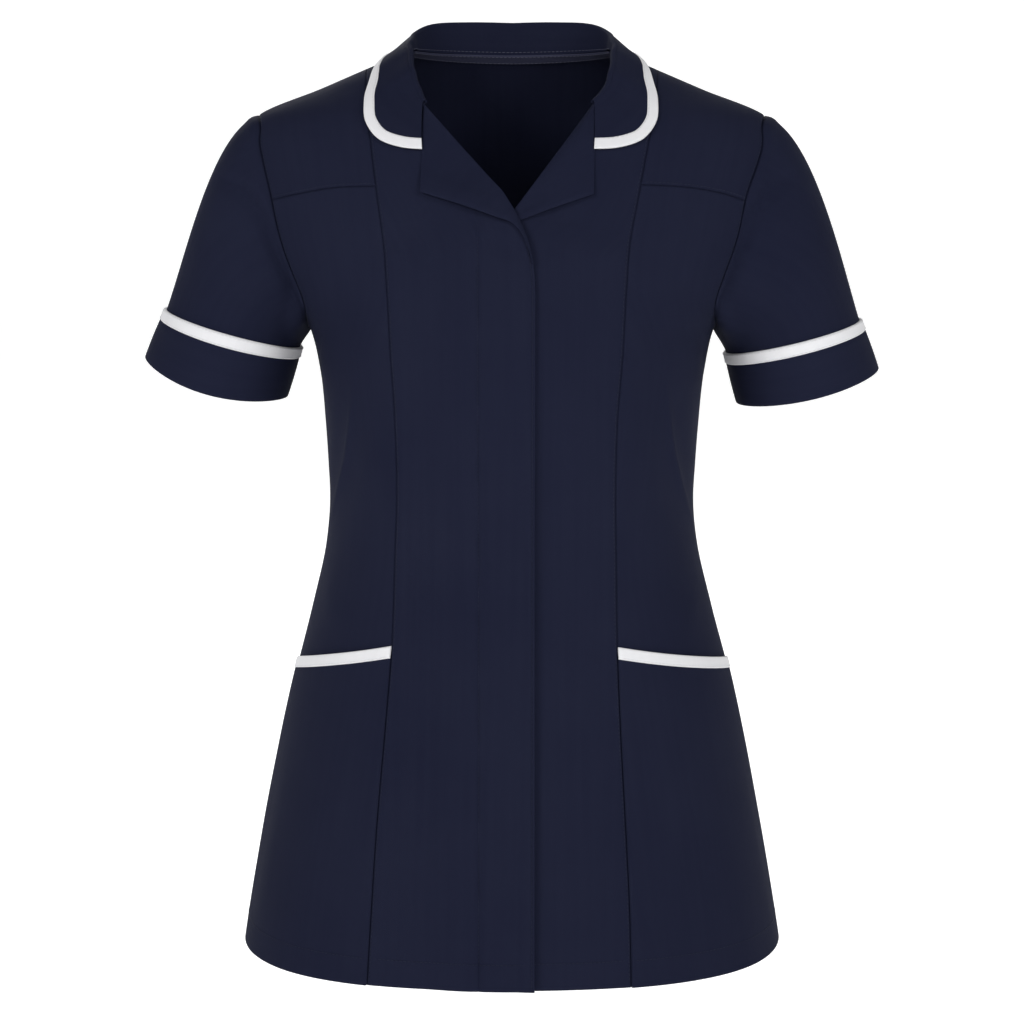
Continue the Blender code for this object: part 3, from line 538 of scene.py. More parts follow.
def fold_lift(angle, height):
    """How far the folds and slow waves raise the cloth; angles past 180 are the right half."""
    lift = np.zeros(np.shape(angle))
    points = figure(angle, height)
    for side, path, width, rise in FOLD_ROWS:
        line = curve_through(path, 36)
        spots = figure(line[:, 0], line[:, 1]) * np.array([SIDES[side], 1, 1])
        near = np.min(spots, axis=0) - 3 * width
        far = np.max(spots, axis=0) + 3 * width
        inside = np.all((points > near) & (points < far), axis=-1)
        if not inside.any():
            continue
        lift[inside] += fold_profile(*distance_along(points[inside], spots), width, rise)
    for turns, length, start, rise in WAVE_ROWS:
        across = np.radians(angle) * turns + start
        lift = lift + rise * np.sin(across + height / length * 2) * np.cos(height / length)
    return lift


print("folds on the body:", len(FOLD_ROWS), "rows of", ", ".join(FOLD_COLUMNS))
print("slow waves:", len(WAVE_ROWS), "rows of", ", ".join(WAVE_COLUMNS))

# %% [markdown]
# ## A panel from its four seams
# A panel could be cut from a finished body with a knife, but its edges would be ragged.
# Instead the four seams of a panel are blended across it, the points are pulled onto the
# figure, and the stitches later follow the same paths. Where two panels meet, the outer skin
# dips into the seam; at a free edge both skins round over.

# %% Panel grids
HEM_STEPS = (0, 0.4, 1.0, 1.8, 2.8, 18.6, 19.7, 20.5, 21.4, 22.6)
SEAM_DIP = 1.05
SEAM_DIP_WIDTH = 1.1
PRESSED_RISE = 0.3
PRESSED_WIDTH = 8.0
EDGE_ROUND = 0.5
EDGE_ROUND_WIDTH = 1.0


def blended(top, bottom, left, right):
    """Points inside four runs of points, blended from the runs."""
    across_run, down_run = travelled(top), travelled(left)
    across = (across_run / across_run[-1])[None, :, None]
    down = (down_run / down_run[-1])[:, None, None]
    between_sides = (1 - across) * left[:, None] + across * right[:, None]
    between_ends = (1 - down) * top[None] + down * bottom[None]
    corners = (1 - down) * ((1 - across) * top[0] + across * top[-1]) + down * (
        (1 - across) * bottom[0] + across * bottom[-1]
    )
    return between_sides + between_ends - corners


def panel_grid(top, bottom, left, right, near_hem=EDGE_STEPS):
    """Angles and heights of a fine grid inside four seams, each run from its first corner."""
    columns = math.ceil(max(run_length(top), run_length(bottom)) / CELL)
    rows = math.ceil(max(run_length(left), run_length(right)) / CELL)
    runs = []
    for path in (top, bottom):
        runs.append(at_shares(path, seam_shares(run_length(path), columns)))
    for path in (left, right):
        shares = seam_shares(run_length(path), rows, EDGE_STEPS, near_hem)
        runs.append(at_shares(path, shares))
    angle, height = settle(blended(*[figure(run[:, 0], run[:, 1]) for run in runs]))
    middle = (top[:, 0].min() + top[:, 0].max()) / 2
    angle = angle + 360 * np.round((middle - angle) / 360)
    for grid, k in ((angle, 0), (height, 1)):
        grid[0], grid[-1] = runs[0][:, k], runs[1][:, k]
        grid[:, 0], grid[:, -1] = runs[2][:, k], runs[3][:, k]
    return angle, height


def grid_travelled(points, axis):
    steps = np.linalg.norm(np.diff(points, axis=axis), axis=-1)
    zero = np.zeros_like(np.take(steps, [0], axis=axis))
    return np.concatenate([zero, np.cumsum(steps, axis=axis)], axis=axis)


def border_distances(points):
    """Distance of each grid point from the top, bottom, left and right of its panel."""
    down = grid_travelled(points, 0)
    across = grid_travelled(points, 1)
    return {
        "top": down,
        "bottom": down[-1:] - down,
        "left": across,
        "right": across[:, -1:] - across,
    }


def ease_between(value, start, end):
    """0 at start, 1 at end, and smooth in between."""
    share = np.clip((value - start) / (end - start), 0, 1)
    return share * share * (3 - 2 * share)


def edge_change(kind, distance):
    """Rise and dip of the outer skin, and rise of the inner one, near a border of a kind."""
    distance = np.asarray(distance, float)
    nothing = np.zeros(distance.shape)
    if kind == "edge":
        share = np.clip(1 - distance / EDGE_ROUND_WIDTH, 0, 1)
        turned = EDGE_ROUND * (1 - np.sqrt(1 - share ** 2))
        return nothing, -turned, turned
    away = ease_between(distance, 0, SEAM_DIP_WIDTH)
    if kind == "seam":
        return nothing, SEAM_DIP * (away - 1), nothing
    raised = away * (1 - ease_between(distance, PRESSED_WIDTH - 2, PRESSED_WIDTH + 2))
    return PRESSED_RISE * raised, SEAM_DIP * (away - 1), nothing


print("edge kinds: seam, pressed, edge")

# %% [markdown]
# ## From two skins to a mesh
# The outer and inner skins share one grid. Faces join neighbours in each skin, a ring of
# faces closes the border, and a UV map in metres, measured along the cloth, gives the weave
# its true scale and direction on every piece.

# %% Mesh maker
PIECES = {}
SMOOTH_LIMIT = math.radians(50)


def border_loop(rows, columns):
    loop = [(0, c) for c in range(columns - 1)]
    loop += [(r, columns - 1) for r in range(rows - 1)]
    loop += [(rows - 1, c) for c in range(columns - 1, 0, -1)]
    loop += [(r, 0) for r in range(rows - 1, 0, -1)]
    return np.array(loop)


def grid_faces(rows, columns, closed):
    spans = columns if closed else columns - 1
    r, c = np.meshgrid(np.arange(rows - 1), np.arange(spans), indexing="ij")
    r, c = r.ravel(), c.ravel()
    after = (c + 1) % columns
    corners = [(r, c), (r + 1, c), (r + 1, after), (r, after)]
    return np.stack([a * columns + b for a, b in corners], axis=-1)


def rim_faces(rows, columns, closed):
    """Faces that join the outer skin's border to the inner skin's."""
    count = rows * columns
    if closed:
        c = np.arange(columns)
        top, bottom = c, ((rows - 1) * columns + c)[::-1]
        loops = [top, bottom]
    else:
        loop = border_loop(rows, columns)
        loops = [loop[:, 0] * columns + loop[:, 1]]
    faces = []
    for loop in loops:
        ahead = np.roll(loop, -1)
        faces.append(np.stack([loop, ahead, ahead + count, loop + count], axis=-1))
    return np.vstack(faces)


def enclosed_volume(points, faces):
    a, b, c, d = (points[faces[:, k]] for k in range(4))
    return np.sum(a * np.cross(b, c)) + np.sum(a * np.cross(c, d))


def new_mesh(name, points, faces, material):
    mesh = bpy.data.meshes.new(name)
    mesh.from_pydata((points * MM).tolist(), [], faces.tolist())
    mesh.shade_smooth()
    mesh.set_sharp_from_angle(angle=SMOOTH_LIMIT)
    mesh.materials.append(material)
    piece = bpy.data.objects.new(name, mesh)
    bpy.context.scene.collection.objects.link(piece)
    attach(piece, "root")
    PIECES[name] = piece
    return piece


def add_cloth_map(mesh, across, down):
    """A UV map named Cloth, in metres along and down the cloth."""
    layer = mesh.uv_layers.new(name="Cloth")
    corners = np.empty(len(mesh.loops), dtype=np.int32)
    mesh.loops.foreach_get("vertex_index", corners)
    places = np.stack([across, down], axis=-1)[corners] * MM
    layer.data.foreach_set("uv", places.astype(np.float32).ravel())


def cloth_piece(name, outer, inner, material, closed=False, grain_turn=0.0):
    """One closed thin solid between two skins of the same grid."""
    rows, columns = outer.shape[:2]
    count = rows * columns
    points = np.vstack([outer.reshape(-1, 3), inner.reshape(-1, 3)])
    skin = grid_faces(rows, columns, closed)
    faces = np.vstack([skin, skin[:, ::-1] + count, rim_faces(rows, columns, closed)])
    if enclosed_volume(points, faces) < 0:
        faces = faces[:, ::-1]
    piece = new_mesh(name, points, faces, material)
    across = grid_travelled(outer, 1)
    across = across - across[:, columns // 2:columns // 2 + 1]
    down = -grid_travelled(outer, 0)
    turn = math.radians(grain_turn)
    u = across * math.cos(turn) - down * math.sin(turn)
    v = across * math.sin(turn) + down * math.cos(turn)
    add_cloth_map(piece.data, np.tile(u.ravel(), 2), np.tile(v.ravel(), 2))
    return piece


def mirrored(points, side):
    return points * np.array([SIDES.get(side, 1), 1, 1])


print("mesh maker ready")

# %% [markdown]
# ## The weave, as a shader group
# Up close the navy cloth is a twill: fine diagonal ribs, broken where the cross threads pass
# under. An image could carry that, but a few waves on the cloth's own map stay sharp at any
# distance. The group is built once and gives a height for the bump and a mask for the yarn;
# each material places it with its own rib spacing and slant.

# %% Node helpers
def add_node(tree, kind, inputs=None, **settings):
    made = tree.nodes.new(kind)
    for key, value in settings.items():
        setattr(made, key, value)
    for key, value in (inputs or {}).items():
        if isinstance(value, bpy.types.NodeSocket):
            tree.links.new(value, made.inputs[key])
        else:
            made.inputs[key].default_value = value
    return made


def maths(tree, operation, *values):
    inputs = dict(enumerate(values))
    return add_node(tree, "ShaderNodeMath", inputs, operation=operation).outputs[0]


def wave(tree, phase):
    """A wave from 0 to 1 with one turn for each whole number of its phase."""
    turn = maths(tree, "SINE", maths(tree, "MULTIPLY", phase, 2 * math.pi))
    return maths(tree, "MULTIPLY_ADD", turn, 0.5, 0.5)


def new_group(name, inputs, outputs):
    group = bpy.data.node_groups.new(name, "ShaderNodeTree")
    for kind, sockets in (("INPUT", inputs), ("OUTPUT", outputs)):
        for socket, form, value in sockets:
            made = group.interface.new_socket(socket, in_out=kind, socket_type="NodeSocket" + form)
            if value is not None:
                made.default_value = value
    return group, group.nodes.new("NodeGroupInput").outputs, group.nodes.new("NodeGroupOutput")


print("shader helpers ready")

# %% Woven ribs group
def make_weave_group():
    group, given, out = new_group(
        "woven ribs",
        (("Cloth", "Vector", None), ("Rib spacing", "Float", 0.0007), ("Slant", "Float", 1.0)),
        (("Height", "Float", None), ("Yarn", "Float", None)),
    )
    place = add_node(group, "ShaderNodeSeparateXYZ", {0: given["Cloth"]}).outputs
    along = maths(group, "DIVIDE", place["Y"], given["Rib spacing"])
    across = maths(group, "DIVIDE", place["X"], given["Rib spacing"])
    slanted = maths(group, "MULTIPLY_ADD", along, given["Slant"], across)
    wobble = add_node(
        group, "ShaderNodeTexNoise", {"Vector": given["Cloth"], "Scale": 420.0, "Detail": 2.0}
    ).outputs["Fac"]
    rib = wave(group, maths(group, "MULTIPLY_ADD", wobble, 0.35, slanted))
    thread = wave(group, maths(group, "SUBTRACT", along, maths(group, "MULTIPLY", across, 0.5)))
    broken = maths(group, "MULTIPLY", rib, maths(group, "MULTIPLY_ADD", thread, 0.4, 0.6))
    stretched = add_node(
        group, "ShaderNodeMapping", {"Vector": given["Cloth"], "Scale": (2600.0, 160.0, 1.0)}
    ).outputs[0]
    slub = add_node(
        group, "ShaderNodeTexNoise", {"Vector": stretched, "Scale": 1.0, "Detail": 3.0}
    ).outputs["Fac"]
    group.links.new(maths(group, "MULTIPLY_ADD", slub, 0.3, broken), out.inputs["Height"])
    group.links.new(maths(group, "MULTIPLY", broken, slub), out.inputs["Yarn"])
    return group


WEAVE = make_weave_group()
print("weave group sockets:", [item.name for item in WEAVE.interface.items_tree])

# %% [markdown]
# ## Slow colour changes
# Dyed cloth is not one colour: it is a little greyer where it has been handled and deeper
# where it was pressed. A second group mixes two shades by a slow cloud, a faint streak along
# the warp and the yarn mask, and both the navy and the white use it.

# %% Dyed cloth group
def make_dye_group():
    group, given, out = new_group(
        "dyed cloth",
        (
            ("Cloth", "Vector", None),
            ("Deep shade", "Color", (0.01, 0.01, 0.03, 1)),
            ("Pale shade", "Color", (0.02, 0.02, 0.05, 1)),
            ("Yarn", "Float", 0.5),
            ("Yarn share", "Float", 0.5),
        ),
        (("Color", "Color", None), ("Cloud", "Float", None)),
    )
    spot = group.nodes.new("ShaderNodeTexCoord").outputs["Object"]
    cloud = add_node(
        group, "ShaderNodeTexNoise", {"Vector": spot, "Scale": 9.0, "Detail": 4.0}
    ).outputs["Fac"]
    warp = add_node(
        group, "ShaderNodeMapping", {"Vector": given["Cloth"], "Scale": (210.0, 6.0, 1.0)}
    ).outputs[0]
    streak = add_node(
        group, "ShaderNodeTexNoise", {"Vector": warp, "Scale": 1.0, "Detail": 2.0}
    ).outputs["Fac"]
    slow = maths(group, "MULTIPLY_ADD", streak, 0.35, maths(group, "MULTIPLY", cloud, 0.65))
    yarn = maths(group, "MULTIPLY", given["Yarn"], given["Yarn share"])
    share = maths(group, "ADD", slow, maths(group, "SUBTRACT", yarn, 0.15))
    mixed = add_node(
        group,
        "ShaderNodeMix",
        {"Factor": share, "A": given["Deep shade"], "B": given["Pale shade"]},
        data_type="RGBA",
        clamp_factor=True,
    )
    group.links.new(mixed.outputs["Result"], out.inputs["Color"])
    group.links.new(slow, out.inputs["Cloud"])
    return group


DYE = make_dye_group()
print("dye group sockets:", [item.name for item in DYE.interface.items_tree])

# %% [markdown]
# ## Navy twill, white binding and two threads
# The navy has almost no gloss, only a faint bloom at grazing angles from its short fibres,
# so it gets a weak sheen and a low specular level. The white binding is a flat rib weave
# that runs straight across its strip. The threads are twisted and a little brighter than
# the cloth they lie on.

# %% Cloth materials
CLOTH_FINISHES = {
    "navy_twill": {
        "deep": (0.0072, 0.0086, 0.0222, 1),
        "pale": (0.0145, 0.0168, 0.0338, 1),
        "spacing": 0.00072,
        "slant": 1.0,
        "yarn": 0.55,
        "bump": 0.00010,
        "sheen": 0.009,
        "sheen_tint": (0.55, 0.60, 0.80, 1),
        "roughness": (0.78, 0.94),
        "specular": 0.03,
    },
    "navy_tape_weave": {
        "deep": (0.0225, 0.0242, 0.0470, 1),
        "pale": (0.0400, 0.0425, 0.0750, 1),
        "spacing": 0.0011,
        "slant": 0.0,
        "yarn": 0.6,
        "bump": 0.00014,
        "sheen": 0.02,
        "sheen_tint": (0.70, 0.74, 0.90, 1),
        "roughness": (0.6, 0.8),
        "specular": 0.10,
    },
    "white_binding_weave": {
        "deep": (0.625, 0.625, 0.645, 1),
        "pale": (0.745, 0.745, 0.76, 1),
        "spacing": 0.00095,
        "slant": 0.0,
        "yarn": 0.35,
        "bump": 0.00012,
        "sheen": 0.03,
        "sheen_tint": (1.0, 1.0, 1.0, 1),
        "roughness": (0.66, 0.86),
        "specular": 0.2,
    },
}


def make_cloth_material(name):
    finish = CLOTH_FINISHES[name]
    material = bpy.data.materials.new(name)
    material.use_nodes = True
    tree = material.node_tree
    shader = tree.nodes["Principled BSDF"]
    cloth = add_node(tree, "ShaderNodeUVMap", uv_map="Cloth").outputs[0]
    weave = add_node(tree, "ShaderNodeGroup", node_tree=WEAVE)
    tree.links.new(cloth, weave.inputs["Cloth"])
    weave.inputs["Rib spacing"].default_value = finish["spacing"]
    weave.inputs["Slant"].default_value = finish["slant"]
    dye = add_node(tree, "ShaderNodeGroup", node_tree=DYE)
    tree.links.new(cloth, dye.inputs["Cloth"])
    tree.links.new(weave.outputs["Yarn"], dye.inputs["Yarn"])
    dye.inputs["Deep shade"].default_value = finish["deep"]
    dye.inputs["Pale shade"].default_value = finish["pale"]
    dye.inputs["Yarn share"].default_value = finish["yarn"]
    tree.links.new(dye.outputs["Color"], shader.inputs["Base Color"])
    low, high = finish["roughness"]
    rough = maths(tree, "MULTIPLY_ADD", weave.outputs["Height"], low - high, high)
    tree.links.new(rough, shader.inputs["Roughness"])
    bump = add_node(
        tree,
        "ShaderNodeBump",
        {"Height": weave.outputs["Height"], "Strength": 0.8, "Distance": finish["bump"]},
    )
    tree.links.new(bump.outputs["Normal"], shader.inputs["Normal"])
    shader.inputs["Specular IOR Level"].default_value = finish["specular"]
    shader.inputs["Sheen Weight"].default_value = finish["sheen"]
    shader.inputs["Sheen Roughness"].default_value = 0.4
    shader.inputs["Sheen Tint"].default_value = finish["sheen_tint"]
    return material


NAVY = make_cloth_material("navy_twill")
TAPE = make_cloth_material("navy_tape_weave")
WHITE = make_cloth_material("white_binding_weave")
print("made", NAVY.name, TAPE.name, WHITE.name)

# %% Thread materials
THREAD_COLOURS = {
    "navy_thread": (0.015, 0.0175, 0.036, 1),
    "tape_thread": (0.085, 0.088, 0.130, 1),
    "white_thread": (0.72, 0.72, 0.74, 1),
}


def make_thread_material(name):
    material = bpy.data.materials.new(name)
    material.use_nodes = True
    tree = material.node_tree
    shader = tree.nodes["Principled BSDF"]
    spot = tree.nodes.new("ShaderNodeTexCoord").outputs["Object"]
    twist = add_node(
        tree, "ShaderNodeTexNoise", {"Vector": spot, "Scale": 2600.0, "Detail": 1.0}
    ).outputs["Fac"]
    colour = THREAD_COLOURS[name]
    darker = tuple(0.72 * part for part in colour[:3]) + (1,)
    mixed = add_node(
        tree, "ShaderNodeMix", {"Factor": twist, "A": darker, "B": colour}, data_type="RGBA"
    )
    tree.links.new(mixed.outputs["Result"], shader.inputs["Base Color"])
    shader.inputs["Roughness"].default_value = 0.6
    shader.inputs["Specular IOR Level"].default_value = 0.1
    return material


NAVY_THREAD = make_thread_material("navy_thread")
TAPE_THREAD = make_thread_material("tape_thread")
WHITE_THREAD = make_thread_material("white_thread")
print("made", NAVY_THREAD.name, TAPE_THREAD.name, WHITE_THREAD.name)

# %% [markdown]
# ## The solids that the pieces replace
# Each cloth piece stands in for one solid of the imported part. Once a piece is made, that
# solid is hidden, so that only the cloth is drawn. Each piece's widest row, longest column
# and area are measured on its own outer skin.


def declare(node):
    """Hides the imported solid that a cloth piece replaces."""
    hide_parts(node)

# %% [markdown]
# ## Body panels
# Each body panel is a grid between its seams, raised by the folds. The right centre front
# lies over the left one, so it stands a little off the figure, and the double placket
# behind its edge raises it by half a millimetre more. The placket's stitches pull a shallow,
# puckered groove, and three columns of the grid are drawn close together to show it. From
# the chest down the edge lifts a little. The hem is turned up inside, so the cloth is double
# there.

# %% Panel skins
OVERLAP_LIFT = 3.2
OVERLAP_RISE_ACROSS = (70, 34)
OVERLAP_RISE_DOWN = (-85, -110)
PLACKET_LINE = 25.2
PLACKET_RISE = 0.5
PLACKET_RISE_ACROSS = (3, -1)
PLACKET_RISE_DOWN = (-112, -130)
PLACKET_GROOVE = 1.3
PLACKET_GROOVE_WIDTH = 1.2
PUCKER = 0.35
PUCKER_LENGTHS = (6.3, 17)
EDGE_LIFT = 1.3
EDGE_LIFT_ACROSS = (-3, -15)
EDGE_LIFT_DOWN = (-240, -420)


def thickness_of(height):
    band = HEM + HEM_BAND
    return CLOTH * (1 + ease_between(height, band + 0.6, band - 0.6))


def front_lift(angle, height, side):
    """How far a centre front stands off the figure, over the front beneath it."""
    if side != "right":
        return np.zeros(np.shape(height))
    x = figure(angle, height)[..., 0]
    across = ease_between(x, *OVERLAP_RISE_ACROSS)
    over = OVERLAP_LIFT * across * ease_between(height, *OVERLAP_RISE_DOWN)
    near_edge = ease_between(x, *EDGE_LIFT_ACROSS) * ease_between(height, *EDGE_LIFT_DOWN)
    placket = ease_between(x - PLACKET_LINE, *PLACKET_RISE_ACROSS)
    groove = PLACKET_GROOVE * np.exp(-(((x - PLACKET_LINE) / PLACKET_GROOVE_WIDTH) ** 2))
    short, long = PUCKER_LENGTHS
    pucker = 1 + PUCKER * np.sin(height / short) * np.sin(height / long + 1)
    below = ease_between(height, *PLACKET_RISE_DOWN)
    return over + EDGE_LIFT * near_edge + (PLACKET_RISE * placket - groove * pucker) * below


def panel_skins(grid, edges, side=None, lift=0.0, thickness=None):
    """Outer and inner skin of a panel whose four borders are of the kinds given."""
    angle, height = grid
    points = figure(angle, height)
    normals = figure_normal(angle, height)
    raised = np.zeros(angle.shape)
    dipped = np.zeros(angle.shape)
    turned = np.zeros(angle.shape)
    for border, distance in border_distances(points).items():
        rise, dip, inner = edge_change(edges[border], distance)
        raised = np.maximum(raised, rise)
        dipped = np.minimum(dipped, dip)
        turned = np.maximum(turned, inner)
    if thickness is None:
        thickness = thickness_of(height)
    lift = lift + fold_lift(SIDES.get(side, 1) * angle, height)
    outer = points + normals * (lift + raised + dipped)[..., None]
    inner = points + normals * (lift - thickness + turned)[..., None]
    return mirrored(outer, side), mirrored(inner, side)


def edges_of(top, bottom, left, right):
    return {"top": top, "bottom": bottom, "left": left, "right": right}


print("the right front lies", OVERLAP_LIFT, "mm out, over the left one")

# %% Centre fronts
PLACKET_STEP = 0.35
PLACKET_COLUMNS_DOWN = (-112, -135)


def with_placket_columns(grid):
    """Slides the columns of a front so that three of them follow the placket's stitches."""
    angle, height = grid
    x = figure(angle, height)[..., 0]
    columns = np.arange(x.shape[1], dtype=float)
    ends = len(EDGE_STEPS)
    last = columns[-1]
    spots = np.array([np.interp(-PLACKET_LINE, -row, columns) for row in x])
    centre = np.round(np.median(spots))
    spots = centre + (spots - centre) * ease_between(height[:, -1], *PLACKET_COLUMNS_DOWN)
    marks = [0, ends, centre - 1, centre, centre + 1, last - ends, last]
    for row, spot in enumerate(spots):
        places = [0, ends, spot - PLACKET_STEP, spot, spot + PLACKET_STEP, last - ends, last]
        moved = np.interp(columns, marks, places)
        angle[row] = np.interp(moved, columns, angle[row])
        height[row] = np.interp(moved, columns, height[row])
    return angle, height


def make_centre_front(side):
    outer_side = princess_path(side, SHOULDER_PRINCESS, HEM)
    inner_side = joined(neck_front(side), front_edge(side))
    top = shoulder_seam(SHOULDER_PRINCESS, 0)
    hem = level_run(outer_side[-1], inner_side[-1])
    grid = with_placket_columns(panel_grid(top, hem, outer_side, inner_side, HEM_STEPS))
    edges = edges_of("seam", "edge", "pressed", "edge")
    skins = panel_skins(grid, edges, side, front_lift(*grid, side))
    piece = cloth_piece("cloth_front_centre_" + side, *skins, NAVY)
    declare("front_centre_" + side)


for side in SIDES:
    make_centre_front(side)

# %% Side fronts and front yokes
def side_front_grid(side):
    left = princess_path(side, FRONT_YOKE_START[side], HEM)
    right = joined(armhole("front_" + side)[1], side_seam())
    hem = level_run(left[-1], right[-1])
    return panel_grid(front_yoke_seam(side), hem, left, right, HEM_STEPS)


def make_side_front(side):
    edges = edges_of("seam", "edge", "seam", "pressed")
    skins = panel_skins(side_front_grid(side), edges, side)
    piece = cloth_piece("cloth_side_front_" + side, *skins, NAVY)
    declare("side_front_" + side)


def make_front_yoke(side):
    top = shoulder_seam(SHOULDER_PRINCESS, SHOULDER_TIP)
    left = princess_path(side, SHOULDER_PRINCESS, FRONT_YOKE_START[side])
    right = armhole("front_" + side)[0]
    grid = panel_grid(top, front_yoke_seam(side), left, right)
    skins = panel_skins(grid, edges_of("seam", "pressed", "seam", "pressed"), side)
    piece = cloth_piece("cloth_front_yoke_" + side, *skins, NAVY)
    declare("front_yoke_" + side)


for side in SIDES:
    make_side_front(side)
    make_front_yoke(side)

# %% Back and back yoke
def make_back():
    seam = joined(armhole("back")[1], side_seam())
    hem = level_run(seam[-1], other_half(seam)[-1])
    grid = panel_grid(back_yoke_seam(), hem, seam, other_half(seam), HEM_STEPS)
    skins = panel_skins(grid, edges_of("seam", "edge", "seam", "seam"))
    piece = cloth_piece("cloth_back", *skins, NAVY)
    declare("back")


def make_back_yoke():
    arm = armhole("back")[0]
    outline = joined(arm, back_yoke_seam(), other_half(arm)[::-1])
    shoulder = shoulder_seam(0, SHOULDER_TIP)
    grid = panel_grid(neck_back(), outline, shoulder, other_half(shoulder))
    skins = panel_skins(grid, edges_of("seam", "pressed", "pressed", "pressed"))
    piece = cloth_piece("cloth_back_yoke", *skins, NAVY)
    declare("back_yoke")


make_back()
make_back_yoke()

# %% [markdown]
# ## Sleeves
# A set-in sleeve is a tube. It leaves the armhole seam nearly level at the shoulder and
# steeply at the armpit, and ends in a flat ring that leans outward. A smooth blend between
# the two rings, a station at a time, gives the sleeve head its roll without a hard bend.
# Its seam allowance is a short lip under the edge of the body, so that no light shows
# through the seam. The folds run from the armhole, deepest in the long trough beside it.

# %% Sleeve shape
SLEEVE = {
    "right": {"outer": (288, -238), "inner": (176, -270), "front_drop": 8, "lean": 20},
    "left": {"outer": (288, -247), "inner": (176, -275), "front_drop": 4, "lean": 17.5},
}
SLEEVE_HALF_DEPTH = 56
SLEEVE_TAPER = 2.5
CUFF_DEPTH = 42
CUFF_STRIP = 9
CUFF_PROUD = 1.8
CUFF_FOLD = 1.8
HEAD_DROP_ANGLE = 15
HEAD_FULLNESS = 0.66
UNDERARM_FULLNESS = 0.9
RING_CELLS = 40


def cuff_axis(side):
    lean = math.radians(SLEEVE[side]["lean"])
    return np.array([math.sin(lean), 0, -math.cos(lean)])


def cuff_surface(side, up, around):
    """The sleeve's last stretch: up is measured from the cuff's lower edge."""
    spec = SLEEVE[side]
    outer = np.array([spec["outer"][0], 0, spec["outer"][1]], float)
    inner = np.array([spec["inner"][0], 0, spec["inner"][1]], float)
    up = np.asarray(up, float)[..., None]
    turn = np.radians(np.asarray(around, float))[..., None]
    share = up / CUFF_DEPTH
    half_width = np.linalg.norm(outer - inner) / 2 - CUFF_PROUD - SLEEVE_TAPER * share
    front = np.array([0, -1, 0])
    drop = spec["front_drop"] * np.clip(np.sin(turn), 0, 1) ** 2 * (1 - share)
    ring = unit(outer - inner) * half_width * np.cos(turn)
    ring = ring + front * SLEEVE_HALF_DEPTH * np.sin(turn)
    return (outer + inner) / 2 + ring + cuff_axis(side) * (drop - up)


def armhole_ring(side):
    """Stations round the armhole, from the shoulder tip over the front to the armpit."""
    even = np.linspace(0, 1, RING_CELLS + 1)
    halves = []
    for half in ("front_" + side, "back"):
        halves.append(joined(*[at_shares(run, even) for run in armhole(half)]))
    return np.vstack([halves[0][:-1], halves[1][:0:-1]])


def round_degrees(count):
    return np.arange(count) * 360 / count


print("stations round a sleeve:", len(armhole_ring("right")))

# %% Folds in the sleeves
SLEEVE_FOLD_START = (0.3, 4)
SLEEVE_FOLD_END = (0.86, 1.0)
SLEEVE_FOLD_COLUMNS = ("side", "path", "width", "rise")
SLEEVE_FOLD_ROWS = (
    ("right", ((0.44, 22), (0.28, 52), (0.20, 82), (0.14, 108), (0.09, 132), (0.07, 152)), 6, -3.9),
    ("right", ((0.22, 50), (0.12, 84), (0.08, 114)), 6, 0.9),
    ("right", ((0.10, 126), (0.26, 136), (0.46, 142)), 9, -1.2),
    ("right", ((0.12, 138), (0.34, 146), (0.60, 150)), 7, 1.4),
    ("right", ((0.66, 30), (0.80, 62), (0.90, 92)), 13, 0.9),
    ("left", ((0.34, 34), (0.21, 60), (0.15, 84), (0.11, 106), (0.08, 128), (0.06, 150)), 6, -3.8),
    ("left", ((0.42, 62), (0.32, 86), (0.26, 112)), 8, 0.8),
    ("left", ((0.10, 122), (0.28, 132), (0.50, 138)), 9, -1.3),
    ("left", ((0.12, 134), (0.36, 142), (0.64, 147)), 7, 1.5),
    ("left", ((0.70, 34), (0.82, 66), (0.92, 96)), 13, 0.9),
    ("right", ((0.40, 316), (0.24, 292), (0.08, 264)), 9, -2.1),
    ("right", ((0.08, 240), (0.30, 232), (0.56, 226)), 8, -1.8),
    ("right", ((0.14, 222), (0.38, 214), (0.62, 210)), 7, 1.3),
    ("left", ((0.42, 318), (0.26, 294), (0.09, 266)), 9, -2.0),
    ("left", ((0.09, 244), (0.32, 236), (0.58, 230)), 8, -1.9),
    ("left", ((0.14, 226), (0.40, 218), (0.66, 214)), 7, 1.4),
)


def sleeve_fold_lift(points, shares, side):
    """Rise of the sleeve's folds; paths hold the share down the sleeve and degrees round it."""
    lift = np.zeros(points.shape[:2])
    columns = points.shape[1]
    for fold_side, path, width, rise in SLEEVE_FOLD_ROWS:
        if fold_side != side:
            continue
        line = curve_through(path, 30)
        rows = np.round(np.interp(line[:, 0], shares, np.arange(len(shares)))).astype(int)
        spots = points[rows, np.round(line[:, 1] / 360 * columns).astype(int) % columns]
        lift += fold_profile(*distance_along(points, spots), width, rise)
    return lift


print("folds in the sleeves:", len(SLEEVE_FOLD_ROWS), "rows of", ", ".join(SLEEVE_FOLD_COLUMNS))

# %% Sleeve mesh
SLEEVE_HEAD_CELLS = 44
CUFF_SHARE = 1.2
CUFF_CELLS = 12
HEAD_ROLL = 1.0
HEAD_ROLL_WIDTH = 14
LIP_DEPTH = 0.7
LIP_REACH = 5.0
LIP_THICKNESS = 0.5


def tube_normals(points):
    along = np.roll(points, -1, axis=1) - np.roll(points, 1, axis=1)
    normals = unit(np.cross(np.gradient(points, axis=0), along))
    middle = points.mean(axis=1, keepdims=True)
    return normals * np.sign(np.sum(normals * (points - middle)))


